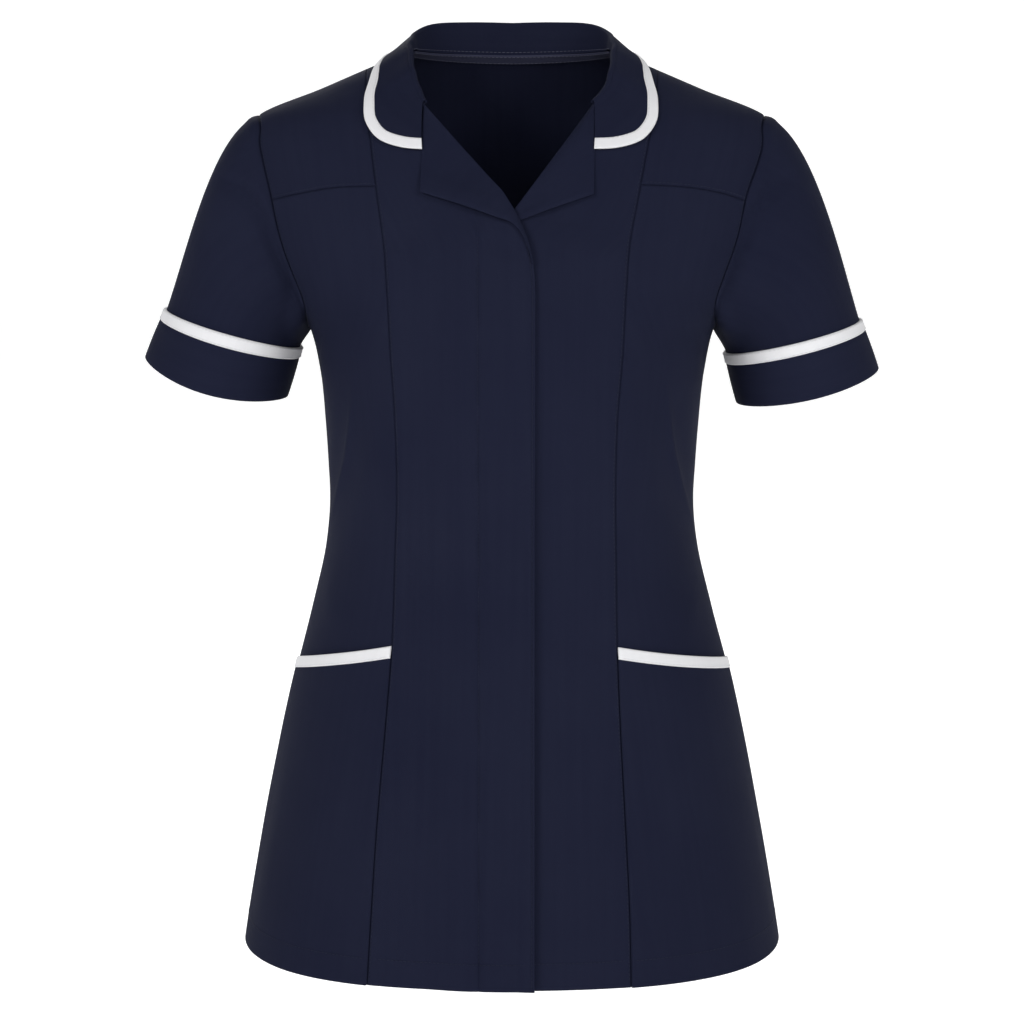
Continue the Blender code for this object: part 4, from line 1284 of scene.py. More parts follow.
def sleeve_surface(side):
    """Rows of the sleeve from the armhole to the cuff, and each row's share of the way."""
    ring = armhole_ring(side)
    around = round_degrees(len(ring))
    start = figure(ring[:, 0], ring[:, 1])
    lift = fold_lift(SIDES[side] * ring[:, 0], ring[:, 1])
    start = start + figure_normal(ring[:, 0], ring[:, 1]) * lift[:, None]
    head_drop = math.radians(HEAD_DROP_ANGLE)
    sideways = np.array([math.cos(head_drop), 0, -math.sin(head_drop)])
    towards_top = ((1 + np.cos(np.radians(around))) / 2)[:, None]
    axis = cuff_axis(side)
    leaving = unit(sideways * towards_top + axis * (1 - towards_top))
    end = cuff_surface(side, np.full(len(ring), CUFF_DEPTH), around)
    span = np.linalg.norm(end - start, axis=1)[:, None]
    head = seam_shares(float(span.mean()), SLEEVE_HEAD_CELLS, EDGE_STEPS, (0,))
    rows = []
    for t in head:
        rest = 1 - t
        rows.append(
            rest ** 2 * (1 + 2 * t) * start
            + t * rest ** 2 * HEAD_FULLNESS * span * leaving
            + t ** 2 * (1 + 2 * rest) * end
            - rest * t ** 2 * UNDERARM_FULLNESS * span * axis
        )
    for up in np.linspace(CUFF_DEPTH, CUFF_FOLD, CUFF_CELLS + 1)[1:]:
        rows.append(cuff_surface(side, np.full(len(ring), up), around))
    shares = np.concatenate([head, np.linspace(1, CUFF_SHARE, CUFF_CELLS + 1)[1:]])
    return np.array(rows), shares


def sleeve_lip(side):
    """Outer and inner rows of the seam allowance, turned in under the body's edge."""
    ring = armhole_ring(side)
    start, normal = figure(ring[:, 0], ring[:, 1]), figure_normal(ring[:, 0], ring[:, 1])
    lift = fold_lift(SIDES[side] * ring[:, 0], ring[:, 1]) - CLOTH - LIP_DEPTH
    bodywards = unit(np.cross(normal, np.roll(start, -1, axis=0) - np.roll(start, 1, axis=0)))
    bodywards = bodywards * -np.sign(np.sum(bodywards[:, 0]))
    outer = [start + normal * lift[:, None] + bodywards * reach for reach in (LIP_REACH, 0.3)]
    inner = [row - normal * LIP_THICKNESS for row in outer]
    return np.array(outer), np.array(inner)


def make_sleeve(side):
    points, shares = sleeve_surface(side)
    normals = tube_normals(points)
    down = grid_travelled(points, 0)
    _, dip, _ = edge_change("seam", down)
    top = (1 + np.cos(np.radians(round_degrees(points.shape[1])))) / 2
    roll = HEAD_ROLL * top * np.sin(math.pi * np.clip(down / HEAD_ROLL_WIDTH, 0, 1)) ** 2
    folds = sleeve_fold_lift(points, shares, side) * ease_between(down, *SLEEVE_FOLD_START)
    lift = dip + roll + folds
    lift = lift * (1 - ease_between(shares, *SLEEVE_FOLD_END))[:, None]
    lip_outer, lip_inner = sleeve_lip(side)
    outer = np.concatenate([lip_outer, points + normals * lift[..., None]])
    inner = np.concatenate([lip_inner, points + normals * (lift - dip - CLOTH)[..., None]])
    outer, inner = mirrored(outer, side), mirrored(inner, side)
    piece = cloth_piece("cloth_sleeve_" + side, outer, inner, NAVY, closed=True)
    declare("sleeve_" + side)


for side in SIDES:
    make_sleeve(side)

# %% [markdown]
# ## Turned-up cuffs and their white strips
# The cuff is the sleeve's own end, folded up outside, so its lower edge is a rolled fold and
# not a cut edge. The fold is a small half circle round the sleeve's edge. The white strip is
# sewn on along the top of the cuff and covers its raw edge, with both of its own edges
# turned under.

# %% Cuffs
FOLD_CENTRE = 0.15
FOLD_RADIUS = 1.35
FOLD_STEPS = 9
LAYER_GAP = 0.3
BINDING = 1.8
STRIP_ROUNDING = 1.3


def on_cuff(side, up, out):
    """Points and normals of the sleeve under its cuff, moved out by a distance."""
    around = round_degrees(4 * RING_CELLS)
    levels = [np.full(len(around), up + d) for d in (-1, 0, 1)]
    points = np.array([cuff_surface(side, level, around) for level in levels])
    return points[1] + tube_normals(points)[1] * out


def fold_skins(at, rows):
    """Outer and inner points of a cloth fold: at(along, out) gives a point of the piece."""
    for turn in np.linspace(-math.pi / 2, math.pi / 2, FOLD_STEPS):
        for skin, radius in ((rows[0], FOLD_RADIUS), (rows[1], FOLD_RADIUS - CLOTH)):
            along, out = -radius * math.cos(turn), FOLD_CENTRE + radius * math.sin(turn)
            skin.append(at(along, out))


def make_cuff(side):
    outer, inner = [], []
    fold_skins(lambda along, out: on_cuff(side, CUFF_FOLD + along, out), (outer, inner))
    for up in np.linspace(CUFF_FOLD, CUFF_DEPTH - CUFF_STRIP + 2, CUFF_CELLS + 1)[1:]:
        bow = 0.5 * math.sin(math.pi * up / CUFF_DEPTH)
        outer.append(on_cuff(side, up, LAYER_GAP + CLOTH + bow))
        inner.append(on_cuff(side, up, LAYER_GAP + bow))
    skins = [mirrored(np.array(skin), side) for skin in (outer, inner)]
    piece = cloth_piece("cloth_cuff_" + side, *skins, NAVY, closed=True, grain_turn=90)
    declare("cuff_" + side)


print("each cuff is turned up", CUFF_DEPTH, "mm deep")

# %% White strips round the cuffs
def strip_height(distance, width):
    """Height of a turned-under strip across its width, rounded at both of its edges."""
    near = np.minimum(distance, width - distance)
    share = np.clip(1 - near / STRIP_ROUNDING, 0, 1)
    return np.sqrt(1 - share ** 2)


def strip_places(width):
    near = np.array([0, 0.15, 0.45, 0.9, STRIP_ROUNDING])
    middle = np.linspace(STRIP_ROUNDING, width - STRIP_ROUNDING, 5)[1:-1]
    return np.concatenate([near, middle, width - near[::-1]])


def make_cuff_trim(side):
    outer, inner = [], []
    for place in strip_places(CUFF_STRIP):
        up = CUFF_DEPTH - CUFF_STRIP + place
        full = strip_height(place, CUFF_STRIP)
        base = LAYER_GAP + (CLOTH + 0.1) * ease_between(place, 3.2, 1.6)
        outer.append(on_cuff(side, up, LAYER_GAP + 0.5 + (BINDING - 0.1) * full))
        inner.append(on_cuff(side, up, min(base, LAYER_GAP + 0.4)))
    skins = [mirrored(np.array(skin), side) for skin in (outer, inner)]
    piece = cloth_piece("binding_cuff_" + side, *skins, WHITE, closed=True)
    declare("cuff_trim_" + side)


for side in SIDES:
    make_cuff(side)
    make_cuff_trim(side)

# %% [markdown]
# ## Pockets
# Each lower pocket is a second layer laid on the side front, caught in the princess seam,
# the side seam and the hem. Its points are the side front's own points moved out, so it
# follows every fold beneath it. Only the mouth is free: it eases away a little and is bound
# in white.

# %% Pocket layers
POCKET_MOUTH_INNER = -447
POCKET_MOUTH_OUTER = -477
POCKET_BINDING_WIDTH = 9.5
POCKET_GAP = 0.3
POCKET_EASE = 1.2
POCKET_EASE_LENGTH = 90


def rows_at(values, down, distance):
    """Values of a panel's columns at a distance down each column."""
    cell = np.arange(down.shape[1])
    row = np.array([np.interp(distance[c], down[:, c], np.arange(len(down))) for c in cell])
    low = np.clip(np.floor(row).astype(int), 0, len(down) - 2)
    share = (row - low)[:, None]
    return (1 - share) * values[low, cell] + share * values[low + 1, cell]


def pocket_base(side):
    """The side front's raised points and normals, and where the mouth crosses its columns."""
    angle, height = side_front_grid(side)
    normals = figure_normal(angle, height)
    points = figure(angle, height)
    points = points + normals * fold_lift(SIDES[side] * angle, height)[..., None]
    down = grid_travelled(points, 0)
    run = grid_travelled(points, 1)
    share = run[-1] / run[-1, -1]
    level = POCKET_MOUTH_INNER + (POCKET_MOUTH_OUTER - POCKET_MOUTH_INNER) * share
    mouth = [np.interp(-level[c], -height[:, c], down[:, c]) for c in range(len(level))]
    return points, normals, down, np.array(mouth), share


def pocket_lift(distance, share):
    easing = np.sin(math.pi * share) * ease_between(distance, POCKET_EASE_LENGTH, 0)
    return POCKET_GAP + POCKET_EASE * easing


print("each pocket mouth falls", POCKET_MOUTH_INNER - POCKET_MOUTH_OUTER, "mm to its side seam")

# %% Pockets and their bound mouths
POCKET_CELLS = 66
POCKET_UNDER_BINDING = 3


def make_pocket(side):
    points, normals, down, mouth, share = pocket_base(side)
    start = POCKET_BINDING_WIDTH - POCKET_UNDER_BINDING
    length = down[-1] - mouth - start
    across = share * travelled(points[-1])[-1]
    _, dip, _ = edge_change("seam", np.minimum(across, across[-1] - across))
    outer, inner = [], []
    for step in seam_shares(float(length.mean()), POCKET_CELLS, EDGE_STEPS, HEM_STEPS[:5]):
        distance = start + step * length
        spot = rows_at(points, down, mouth + distance)
        normal = unit(rows_at(normals, down, mouth + distance))
        lift = pocket_lift(distance, share)
        inner.append(spot + normal * lift[:, None])
        outer.append(spot + normal * (lift + CLOTH + dip)[:, None])
    skins = [mirrored(np.array(skin), side) for skin in (outer, inner)]
    piece = cloth_piece("cloth_pocket_" + side, *skins, NAVY)
    declare("pocket_" + side)


def make_pocket_trim(side):
    points, normals, down, mouth, share = pocket_base(side)
    outer, inner = [], []
    for place in strip_places(POCKET_BINDING_WIDTH):
        spot = rows_at(points, down, mouth + place)
        normal = unit(rows_at(normals, down, mouth + place))
        lift = pocket_lift(np.full(len(share), place), share)
        full = strip_height(place, POCKET_BINDING_WIDTH)
        over_pocket = CLOTH * ease_between(place, 6, 7)
        inner.append(spot + normal * (lift + 0.6 * over_pocket)[:, None])
        outer.append(spot + normal * (lift + 0.7 + BINDING * 0.75 * full)[:, None])
    skins = [mirrored(np.array(skin), side) for skin in (outer, inner)]
    piece = cloth_piece("binding_pocket_" + side, *skins, WHITE)
    declare("pocket_trim_" + side)


for side in SIDES:
    make_pocket(side)
    make_pocket_trim(side)

# %% [markdown]
# ## Reveres
# A revere is the top of the front, turned back along a straight roll line. Its outline is
# flat pattern work: the roll line, a straight outer edge to the corner and a lower edge back
# to the front. On the upper, right front that edge bends down at its inner end and runs out
# as a thin rolled strip beside the front edge. The same half-circle fold as on the cuff turns
# the cloth, and a slight swell keeps the roll soft instead of pressed.

# %% Revere mesh
REVERE = {
    "right": {
        "corner": (68, -104.5),
        "fold_end": -156,
        "lower_edge": ((-12.4, -147.5), (-9.3, -139.7), (-6, -133.2), (0, -127.6), (12, -123.5)),
    },
    "left": {"corner": (60.6, -106), "fold_end": -130, "lower_edge": ()},
}
REVERE_TOP = -40.6
REVERE_TOP_WIDTH = 0.9
REVERE_SWELL = 1.6
REVERE_SWELL_FROM = (12, 28)
REVERE_STAND_OFF = {"right": 2.6, "left": 1.6}
REVERE_STAND_OFF_DEPTH = 26
REVERE_GRAIN = 28
REVERE_COLUMNS = 26
REVERE_ROWS = 40


def even_run(start, end, cells):
    share = np.linspace(0, 1, cells + 1)[:, None]
    return (1 - share) * np.asarray(start, float) + share * np.asarray(end, float)


def roll_line(side):
    """Distance from the centre and height along the roll line and the first of the edge."""
    path = front_edge(side)
    points = figure(path[:, 0], path[:, 1])
    level = np.linspace(REVERE_TOP, REVERE[side]["fold_end"], REVERE_ROWS + 1)
    return np.stack([np.interp(-level, -points[:, 2], points[:, 0]), level], axis=-1)


def revere_surface(side):
    """Points and normals of the front under a revere, column by column from the roll line."""
    inner_edge = roll_line(side)
    start = inner_edge[0] + np.array([REVERE_TOP_WIDTH, -1.0])
    corner = REVERE[side]["corner"]
    tail = REVERE[side]["lower_edge"]
    top = even_run(inner_edge[0], start, REVERE_COLUMNS)
    outer_edge = even_run(start, corner, REVERE_ROWS)
    lower = even_run(inner_edge[-1], corner, REVERE_COLUMNS)
    if tail:
        straight = even_run(tail[-1], corner, 5)[1:]
        path = curve_through([tuple(inner_edge[-1])] + list(tail) + [tuple(p) for p in straight])
        lower = at_shares(path, np.linspace(0, 1, REVERE_COLUMNS + 1))
    across = np.linspace(0, 1, REVERE_COLUMNS + 1)[None, :, None]
    down = np.linspace(0, 1, REVERE_ROWS + 1)[:, None, None]
    flat = (1 - across) * inner_edge[:, None] + across * outer_edge[:, None]
    flat = flat + (1 - down) * top[None] + down * lower[None]
    flat = flat - (1 - down) * ((1 - across) * top[0] + across * top[-1])
    flat = flat - down * ((1 - across) * lower[0] + across * lower[-1])
    x, height = flat[..., 0], flat[..., 1]
    angle = angle_at(x, height)
    normals = figure_normal(angle, height)
    lift = front_lift(angle, height, side) + fold_lift(SIDES[side] * angle, height)
    return figure(angle, height) + normals * lift[..., None], normals, x


def make_revere(side):
    points, normals, x = revere_surface(side)
    tangent = unit(np.gradient(points[:, 0], axis=0))
    over = unit(np.cross(normals[:, 0], tangent))
    over = over * np.sign(np.sum(over * (points[:, 1] - points[:, 0])))
    outer, inner = [], []
    edge, out_of = points[:, 0], normals[:, 0]
    fold_skins(lambda along, out: edge + over * along + out_of * out, (outer, inner))
    share = np.linspace(0, 1, REVERE_COLUMNS + 1)
    swell = REVERE_SWELL * ease_between(x, *REVERE_SWELL_FROM)
    width = grid_travelled(points, 1)
    below = grid_travelled(points, 0)[-1] - grid_travelled(points, 0)
    stand_off = REVERE_STAND_OFF[side] * ease_between(below, REVERE_STAND_OFF_DEPTH, 0)
    for k in range(1, REVERE_COLUMNS + 1):
        lift = LAYER_GAP + swell[:, k] * math.sin(math.pi * share[k] ** 0.7)
        lift = lift + stand_off[:, k] * math.sin(math.pi / 2 * min(1, 2.2 * share[k]))
        _, side_turn, _ = edge_change("edge", width[:, -1] - width[:, k])
        _, low_turn, _ = edge_change("edge", below[:, k])
        turn = np.minimum(side_turn, low_turn)
        inner.append(points[:, k] + normals[:, k] * (lift - 0.5 * turn)[:, None])
        outer.append(points[:, k] + normals[:, k] * (lift + CLOTH + turn)[:, None])
    skins = [mirrored(np.array(skin), side) for skin in (outer, inner)]
    grain = REVERE_GRAIN * SIDES[side]
    piece = cloth_piece("cloth_revere_" + side, *skins, NAVY, grain_turn=grain)
    declare("revere_" + side)


for side in SIDES:
    make_revere(side)

# %% [markdown]
# ## Collar
# The collar is one strip round the neck. It rises from the neck seam as a stand, rolls over
# in a small half circle, and falls back onto the shoulders, bowing outward and resting on
# the yokes. Its outer edge is bound in white. The table gives, for each place round the
# neck, how high it stands and where its edge comes to lie.

# %% Collar table
COLLAR_COLUMNS = ("neck_angle", "neck_height", "stand", "edge_x", "edge_y", "edge_z")
COLLAR_ROWS = (
    (180, -5, 25, 0, 97, -27),
    (157, -4.2, 24.8, 40, 92, -27),
    (135, -2.8, 22.2, 73, 74, -24),
    (112, -1, 14, 91, 38, -17),
    (90, 0, 7, 97.5, 0, -12),
    (59, -5, 4, 106, -36, -21),
    (37.8, -18, 3.4, 110.5, -60, -37),
    (32.6, -24, 3.2, 109, -74, -51),
    (28.3, -30, 3.1, 99, -85, -63.5),
    (25, -35, 3.0, 84, -90, -69),
    (22.5, -40, 3.0, 66.5, -92, -71),
)
EDGE_X = COLLAR_COLUMNS.index("edge_x")
COLLAR_REACH = {"right": 1.015, "left": 1.0}
COLLAR_END_X = {"right": 68.0, "left": 62.8}
COLLAR_FOLD_RADIUS = 1.6
COLLAR_LEAN = 0.12
COLLAR_LIFT = 2.2
COLLAR_BOW = 1.0
COLLAR_BOW_WITH_STAND = 0.12
COLLAR_STATIONS = 90
COLLAR_BINDING_WIDTH = 9
COLLAR_BINDING_ROLL = 0.42
COLLAR_ROLL_ANGLE = 78
COLLAR_ROLL_SPREAD = 30


def collar_half(side):
    """Neck seam, stand height and fall edge at each station, from the centre back."""
    rows = np.array(COLLAR_ROWS, float)
    rows[:, EDGE_X] *= COLLAR_REACH[side]
    rows[-1, EDGE_X] = COLLAR_END_X[side]
    rows[-1, 0] = NECK_END_ANGLE[side]
    rows[-2, 0] = (rows[-3, 0] + rows[-1, 0]) / 2
    neck = figure(rows[:, 0], rows[:, 1])
    steps = np.linalg.norm(np.diff(neck, axis=0), axis=1)
    steps = steps + np.linalg.norm(np.diff(rows[:, EDGE_X:], axis=0), axis=1)
    knots = np.concatenate([[0], np.cumsum(steps)])
    half = smooth_curve(knots, rows)(np.linspace(0, knots[-1], COLLAR_STATIONS + 1))
    half[:, [0, EDGE_X]] *= SIDES[side]
    return half


print("stations in half the collar:", len(collar_half("left")))

# %% Collar surface
COLLAR_STAND_CELLS = 9
COLLAR_FOLD_CELLS = 10
COLLAR_SLIDE = {"right": (2.4, 0.4), "left": (3.0, 1.2)}
COLLAR_SLIDE_STATIONS = 16


def collar_fall(start, end, bulge, shares):
    """Points from the fold to the edge, bowed outward and kept clear of the shoulders."""
    shares = shares[..., None]
    middle = (start + end) / 2 + bulge
    line = (1 - shares) ** 2 * start + 2 * shares * (1 - shares) * middle + shares ** 2 * end
    angle, height = settle(line)
    normal = figure_normal(angle, height)
    lift = np.sum((line - figure(angle, height)) * normal, axis=-1, keepdims=True)
    return line + normal * np.clip(COLLAR_LIFT - lift, 0, None)


def slide_ends(rows, edge):
    """Slides both ends of the fold and the edge towards the centre, to meet the reveres."""
    stations = np.arange(rows.shape[1])
    climb = np.minimum(1, np.arange(len(rows)) / COLLAR_STAND_CELLS)[:, None]
    for side, from_end in (("left", stations), ("right", stations[::-1])):
        at_fold, at_edge = COLLAR_SLIDE[side]
        near = SIDES[side] * (1 - ease_between(from_end, 0, COLLAR_SLIDE_STATIONS))
        rows[..., 0] -= at_fold * climb * near
        edge[..., 0] -= at_edge * near


def collar_shape():
    """Rows of the stand and fold, the fall's outer edge and the fall's bow."""
    stations = np.vstack([collar_half("left")[::-1], collar_half("right")[1:]])
    neck = figure(stations[:, 0], stations[:, 1])
    stand = stations[:, 2][:, None]
    tangent = np.gradient(neck, axis=0)
    outward = unit(np.stack([tangent[:, 1], -tangent[:, 0], 0 * tangent[:, 0]], axis=-1))
    outward = outward * np.sign(np.sum(outward * neck * np.array([1, 1, 0])))
    up = np.array([0, 0, 1.0])
    shoulder = neck + up * (stand - COLLAR_FOLD_RADIUS) + outward * stand * COLLAR_LEAN
    climbing = np.linspace(0, 1, COLLAR_STAND_CELLS + 1)[:-1]
    rows = [neck + (shoulder - neck) * share for share in climbing]
    for turn in np.linspace(math.pi, 0, COLLAR_FOLD_CELLS + 1):
        over = outward * (1 + math.cos(turn)) + up * math.sin(turn)
        rows.append(shoulder + COLLAR_FOLD_RADIUS * over)
    angle, height = settle(stations[:, EDGE_X:])
    edge = figure(angle, height) + figure_normal(angle, height) * COLLAR_LIFT
    bulge = outward * (COLLAR_BOW + COLLAR_BOW_WITH_STAND * stand) + up * COLLAR_BOW
    rows = np.array(rows)
    slide_ends(rows, edge)
    return rows, edge, bulge, binding_narrowing(stations)


def sheet_normals(points):
    return unit(np.cross(np.gradient(points, axis=0), np.gradient(points, axis=1)))


def upward_normals(points, judged=slice(None)):
    """Normals of a sheet, turned so that the rows that are judged point upward."""
    normals = sheet_normals(points)
    return normals * np.sign(np.sum(normals[judged, ..., 2]))


def binding_narrowing(stations):
    """Share of the full width that the binding shows; it rolls under along the shoulders."""
    angle = np.abs(stations[:, 0])
    roll = np.exp(-(((angle - COLLAR_ROLL_ANGLE) / COLLAR_ROLL_SPREAD) ** 2))
    return 1 - COLLAR_BINDING_ROLL * roll


def share_at_distance(falls, shares, edge, distance):
    """Share down the fall at which it comes within a distance of the outer edge."""
    gaps, _ = distance_along(falls, edge)
    wanted = np.broadcast_to(distance, len(edge))
    return np.array([np.interp(-wanted[k], -gaps[:, k], shares) for k in range(len(edge))])


print("rows of the collar's stand and fold:", len(collar_shape()[0]))

# %% Collar and its binding
FALL_CELLS = 15
FALL_SAMPLES = 41
NAVY_UNDER_BINDING = 3
BINDING_EDGE = 0.15
BINDING_FULL = 0.95
BINDING_UNDER = 0.75


def make_collar():
    """Middle surfaces of the navy collar and of the white strip along its edge."""
    rows, edge, bulge, narrow = collar_shape()
    start = rows[-1]
    shares = np.linspace(0, 1, FALL_SAMPLES)
    everywhere = np.repeat(shares[:, None], len(start), axis=1)
    falls = collar_fall(start[None], edge[None], bulge[None], everywhere)
    covered = narrow * (COLLAR_BINDING_WIDTH - NAVY_UNDER_BINDING)
    navy_end = share_at_distance(falls, shares, edge, covered)
    steps = np.linspace(0, 1, FALL_CELLS + 1)[1:, None] * navy_end
    navy = np.concatenate([rows, collar_fall(start[None], edge[None], bulge[None], steps)])
    strip_steps = []
    for place in strip_places(COLLAR_BINDING_WIDTH):
        distance = narrow * (COLLAR_BINDING_WIDTH - place)
        strip_steps.append(share_at_distance(falls, shares, edge, distance))
    strip_steps[-1] = np.ones(len(start))
    strip = collar_fall(start[None], edge[None], bulge[None], np.array(strip_steps))
    return navy, strip


def collar_pieces():
    navy, strip = make_collar()
    out = upward_normals(navy, -1)
    skins = (navy + out * CLOTH / 2, navy - out * CLOTH / 2)
    piece = cloth_piece("cloth_collar", *skins, NAVY, grain_turn=90)
    declare("collar")
    out = upward_normals(strip)
    full = strip_height(strip_places(COLLAR_BINDING_WIDTH), COLLAR_BINDING_WIDTH)
    height = (BINDING_EDGE + BINDING_FULL * full)[:, None, None]
    skins = (strip + out * height, strip - out * np.minimum(height, BINDING_UNDER) * 0.9)
    piece = cloth_piece("binding_collar", *skins, WHITE)
    declare("collar_trim")


collar_pieces()

# %% [markdown]
# ## Neck tape
# Inside the back neck a narrow tape covers the raw edges of the collar seam. It is stitched
# down along both of its edges and is the only piece of the inside that shows.

# %% Neck tape mesh
TAPE_WIDTH = 8.8
TAPE_START = -1.2
TAPE_THICKNESS = 1.0
TAPE_END_ANGLE = 97
TAPE_CELLS = 90


def tape_run():
    rows = [row for row in NECK_ROWS if row[0] > 90]
    ends = [(TAPE_END_ANGLE, float(np.interp(TAPE_END_ANGLE, [90, 112], [0, -1])))]
    half = rows + ends
    other = [(360 - angle, height) for angle, height in reversed(half[1:])]
    return at_shares(curve_through(other + half)[::-1], np.linspace(0, 1, TAPE_CELLS + 1))


def tape_line(distance):
    """Angles and heights of a line inside the back yoke, at a distance below the neck seam."""
    run = tape_run()
    seam = figure(run[:, 0], run[:, 1])
    normal = figure_normal(run[:, 0], run[:, 1])
    down = unit(np.cross(normal, np.gradient(seam, axis=0)))
    down = down * np.sign(-np.sum(down[:, 2]))
    return settle(seam + down * distance)


def make_neck_tape():
    outer, inner = [], []
    for place in strip_places(TAPE_WIDTH):
        angle, height = tape_line(TAPE_START + place)
        points, normals = figure(angle, height), figure_normal(angle, height)
        full = float(strip_height(place, TAPE_WIDTH))
        outer.append(points - normals * (CLOTH + 0.1))
        inner.append(points - normals * (CLOTH + 0.2 + TAPE_THICKNESS * full))
    skins = (np.array(inner), np.array(outer))
    piece = cloth_piece("cloth_neck_tape", *skins, TAPE, grain_turn=90)
    declare("neck_tape")


make_neck_tape()

# %% [markdown]
# ## Stitches
# Topstitching is small, but it is what makes the flat panels read as sewn. One stitch is a
# short thread that rises out of the cloth and dives back, and a row is that stitch again and
# again along a line. All rows of one thread are joined in one mesh, because thousands of
# separate objects would be slow.

# %% One mesh for many stitches
STITCH_LENGTH = 2.5
STITCH_PITCH = 3.3
THREAD_RADIUS = 0.24
STITCH_RING_COLUMNS = ("share", "width", "rise")
STITCH_RINGS = (
    (0.0, 0.35, -0.12),
    (0.18, 1.0, 0.10),
    (0.5, 1.0, 0.16),
    (0.82, 1.0, 0.10),
    (1.0, 0.35, -0.12),
)
STITCH_SIDES = 5
LOOK_AHEAD = 0.2


def at_distance(at, run, values):
    return np.stack([np.interp(at, run, values[:, k]) for k in range(3)], axis=-1)


def row_of_stitches(points, normals):
    """Vertices of one row of stitches on a line of points with outward normals."""
    run = travelled(points)
    starts = np.arange(STITCH_PITCH, run[-1] - STITCH_LENGTH, STITCH_PITCH)
    turns = np.arange(STITCH_SIDES) * 2 * math.pi / STITCH_SIDES
    rings = []
    for share, width, rise in STITCH_RINGS:
        at = starts + share * STITCH_LENGTH
        centre = at_distance(at, run, points)
        out = unit(at_distance(at, run, normals))
        ahead = at_distance(at + LOOK_AHEAD, run, points)
        sideways = unit(np.cross(out, ahead - centre + 1e-9))
        radius = THREAD_RADIUS * width
        ring = []
        for turn in turns:
            around = math.cos(turn) * sideways + math.sin(turn) * out
            ring.append(centre + out * rise + radius * around)
        rings.append(np.stack(ring, axis=1))
    return np.stack(rings, axis=1)


def stitch_faces(count):
    """Faces of a number of stitches: a thread of four-sided faces, closed at both ends."""
    rings, sides = len(STITCH_RINGS), STITCH_SIDES
    one = []
    for start in range(0, (rings - 1) * sides, sides):
        for k in range(sides):
            here, after = start + k, start + (k + 1) % sides
            one.append([here, after, after + sides, here + sides])
    for start, order in ((0, -1), ((rings - 1) * sides, 1)):
        ring = [start + k for k in range(sides)][::order]
        one += [ring[:4], [ring[0], ring[3], ring[4]]]
    step = rings * sides
    return [[corner + n * step for corner in face] for n in range(count) for face in one]


def make_stitches(name, lines, material):
    rows = [row_of_stitches(points, normals) for points, normals in lines]
    points = np.concatenate(rows).reshape(-1, 3)
    count = sum(len(row) for row in rows)
    mesh = bpy.data.meshes.new(name)
    mesh.from_pydata((points * MM).tolist(), [], stitch_faces(count))
    mesh.shade_smooth()
    mesh.materials.append(material)
    piece = bpy.data.objects.new(name, mesh)
    bpy.context.scene.collection.objects.link(piece)
    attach(piece, "root")
    print(name, "has", count, "stitches")
    return piece


print("a stitch is", len(STITCH_RINGS), "rings of", ", ".join(STITCH_RING_COLUMNS))

# %% Lines on the body
STITCH_INSET = 1.9
PRINCESS_STITCH_START = SHOULDER_PRINCESS - 12
PRINCESS_STITCH_END = HEM + 3
ARMHOLE_STITCH_RUN = slice(8, -12)


def body_line(path, inset, side=None, towards=1, lift=None):
    """A stitch line beside a seam path, on the cloth at a distance towards one side."""
    run = at_shares(np.asarray(path, float), np.linspace(0, 1, 260))
    points = figure(run[:, 0], run[:, 1])
    normals = figure_normal(run[:, 0], run[:, 1])
    sideways = unit(np.cross(normals, np.gradient(points, axis=0)))
    angle, height = settle(points + sideways * inset * towards)
    angle = np.where(angle < -90, angle + 360, angle)
    points, normals = figure(angle, height), figure_normal(angle, height)
    raised = PRESSED_RISE + fold_lift(SIDES.get(side, 1) * angle, height)
    if lift is not None:
        raised = raised + lift(angle, height, side)
    points = points + normals * raised[:, None]
    return mirrored(points, side), mirrored(normals, side)


def body_lines():
    lines = []
    for side in SIDES:
        princess = princess_path(side, PRINCESS_STITCH_START, PRINCESS_STITCH_END)
        lines.append(body_line(princess, STITCH_INSET, side, -1, front_lift))
        lines.append(body_line(front_yoke_seam(side), STITCH_INSET, side, 1))
        for half, towards in (("front_" + side, -1), ("back", 1)):
            path = joined(*armhole(half))
            lines.append(body_line(path[ARMHOLE_STITCH_RUN], STITCH_INSET, side, towards))
    lines.append(body_line(back_yoke_seam(), STITCH_INSET, None, 1))
    return lines


print("stitches lie", STITCH_INSET, "mm beside a seam")

# %% Lines down the front and round the hem
HEM_STITCH_HEIGHT = 21
EDGE_STITCH_INSET = 2.2
EDGE_STITCH_START = -132
PLACKET_STITCH_START = -121
LINE_SAMPLES = 300
HEM_SAMPLES = 120
BACK_HEM_SAMPLES = 260


def line_at(angle, height, side, raised):
    points, normals = figure(angle, height), figure_normal(angle, height)
    raised = raised + fold_lift(SIDES.get(side, 1) * angle, height)
    return mirrored(points + normals * raised[:, None], side), mirrored(normals, side)


def front_lines():
    lines = []
    height = np.linspace(PLACKET_STITCH_START, HEM + HEM_STITCH_HEIGHT, LINE_SAMPLES)
    angle = angle_at(np.full(LINE_SAMPLES, PLACKET_LINE), height)
    lines.append(line_at(angle, height, "right", front_lift(angle, height, "right")))
    edge = front_edge("right")
    edge = edge[edge[:, 1] < EDGE_STITCH_START]
    lines.append(body_line(edge, EDGE_STITCH_INSET, "right", 1, front_lift))
    return lines


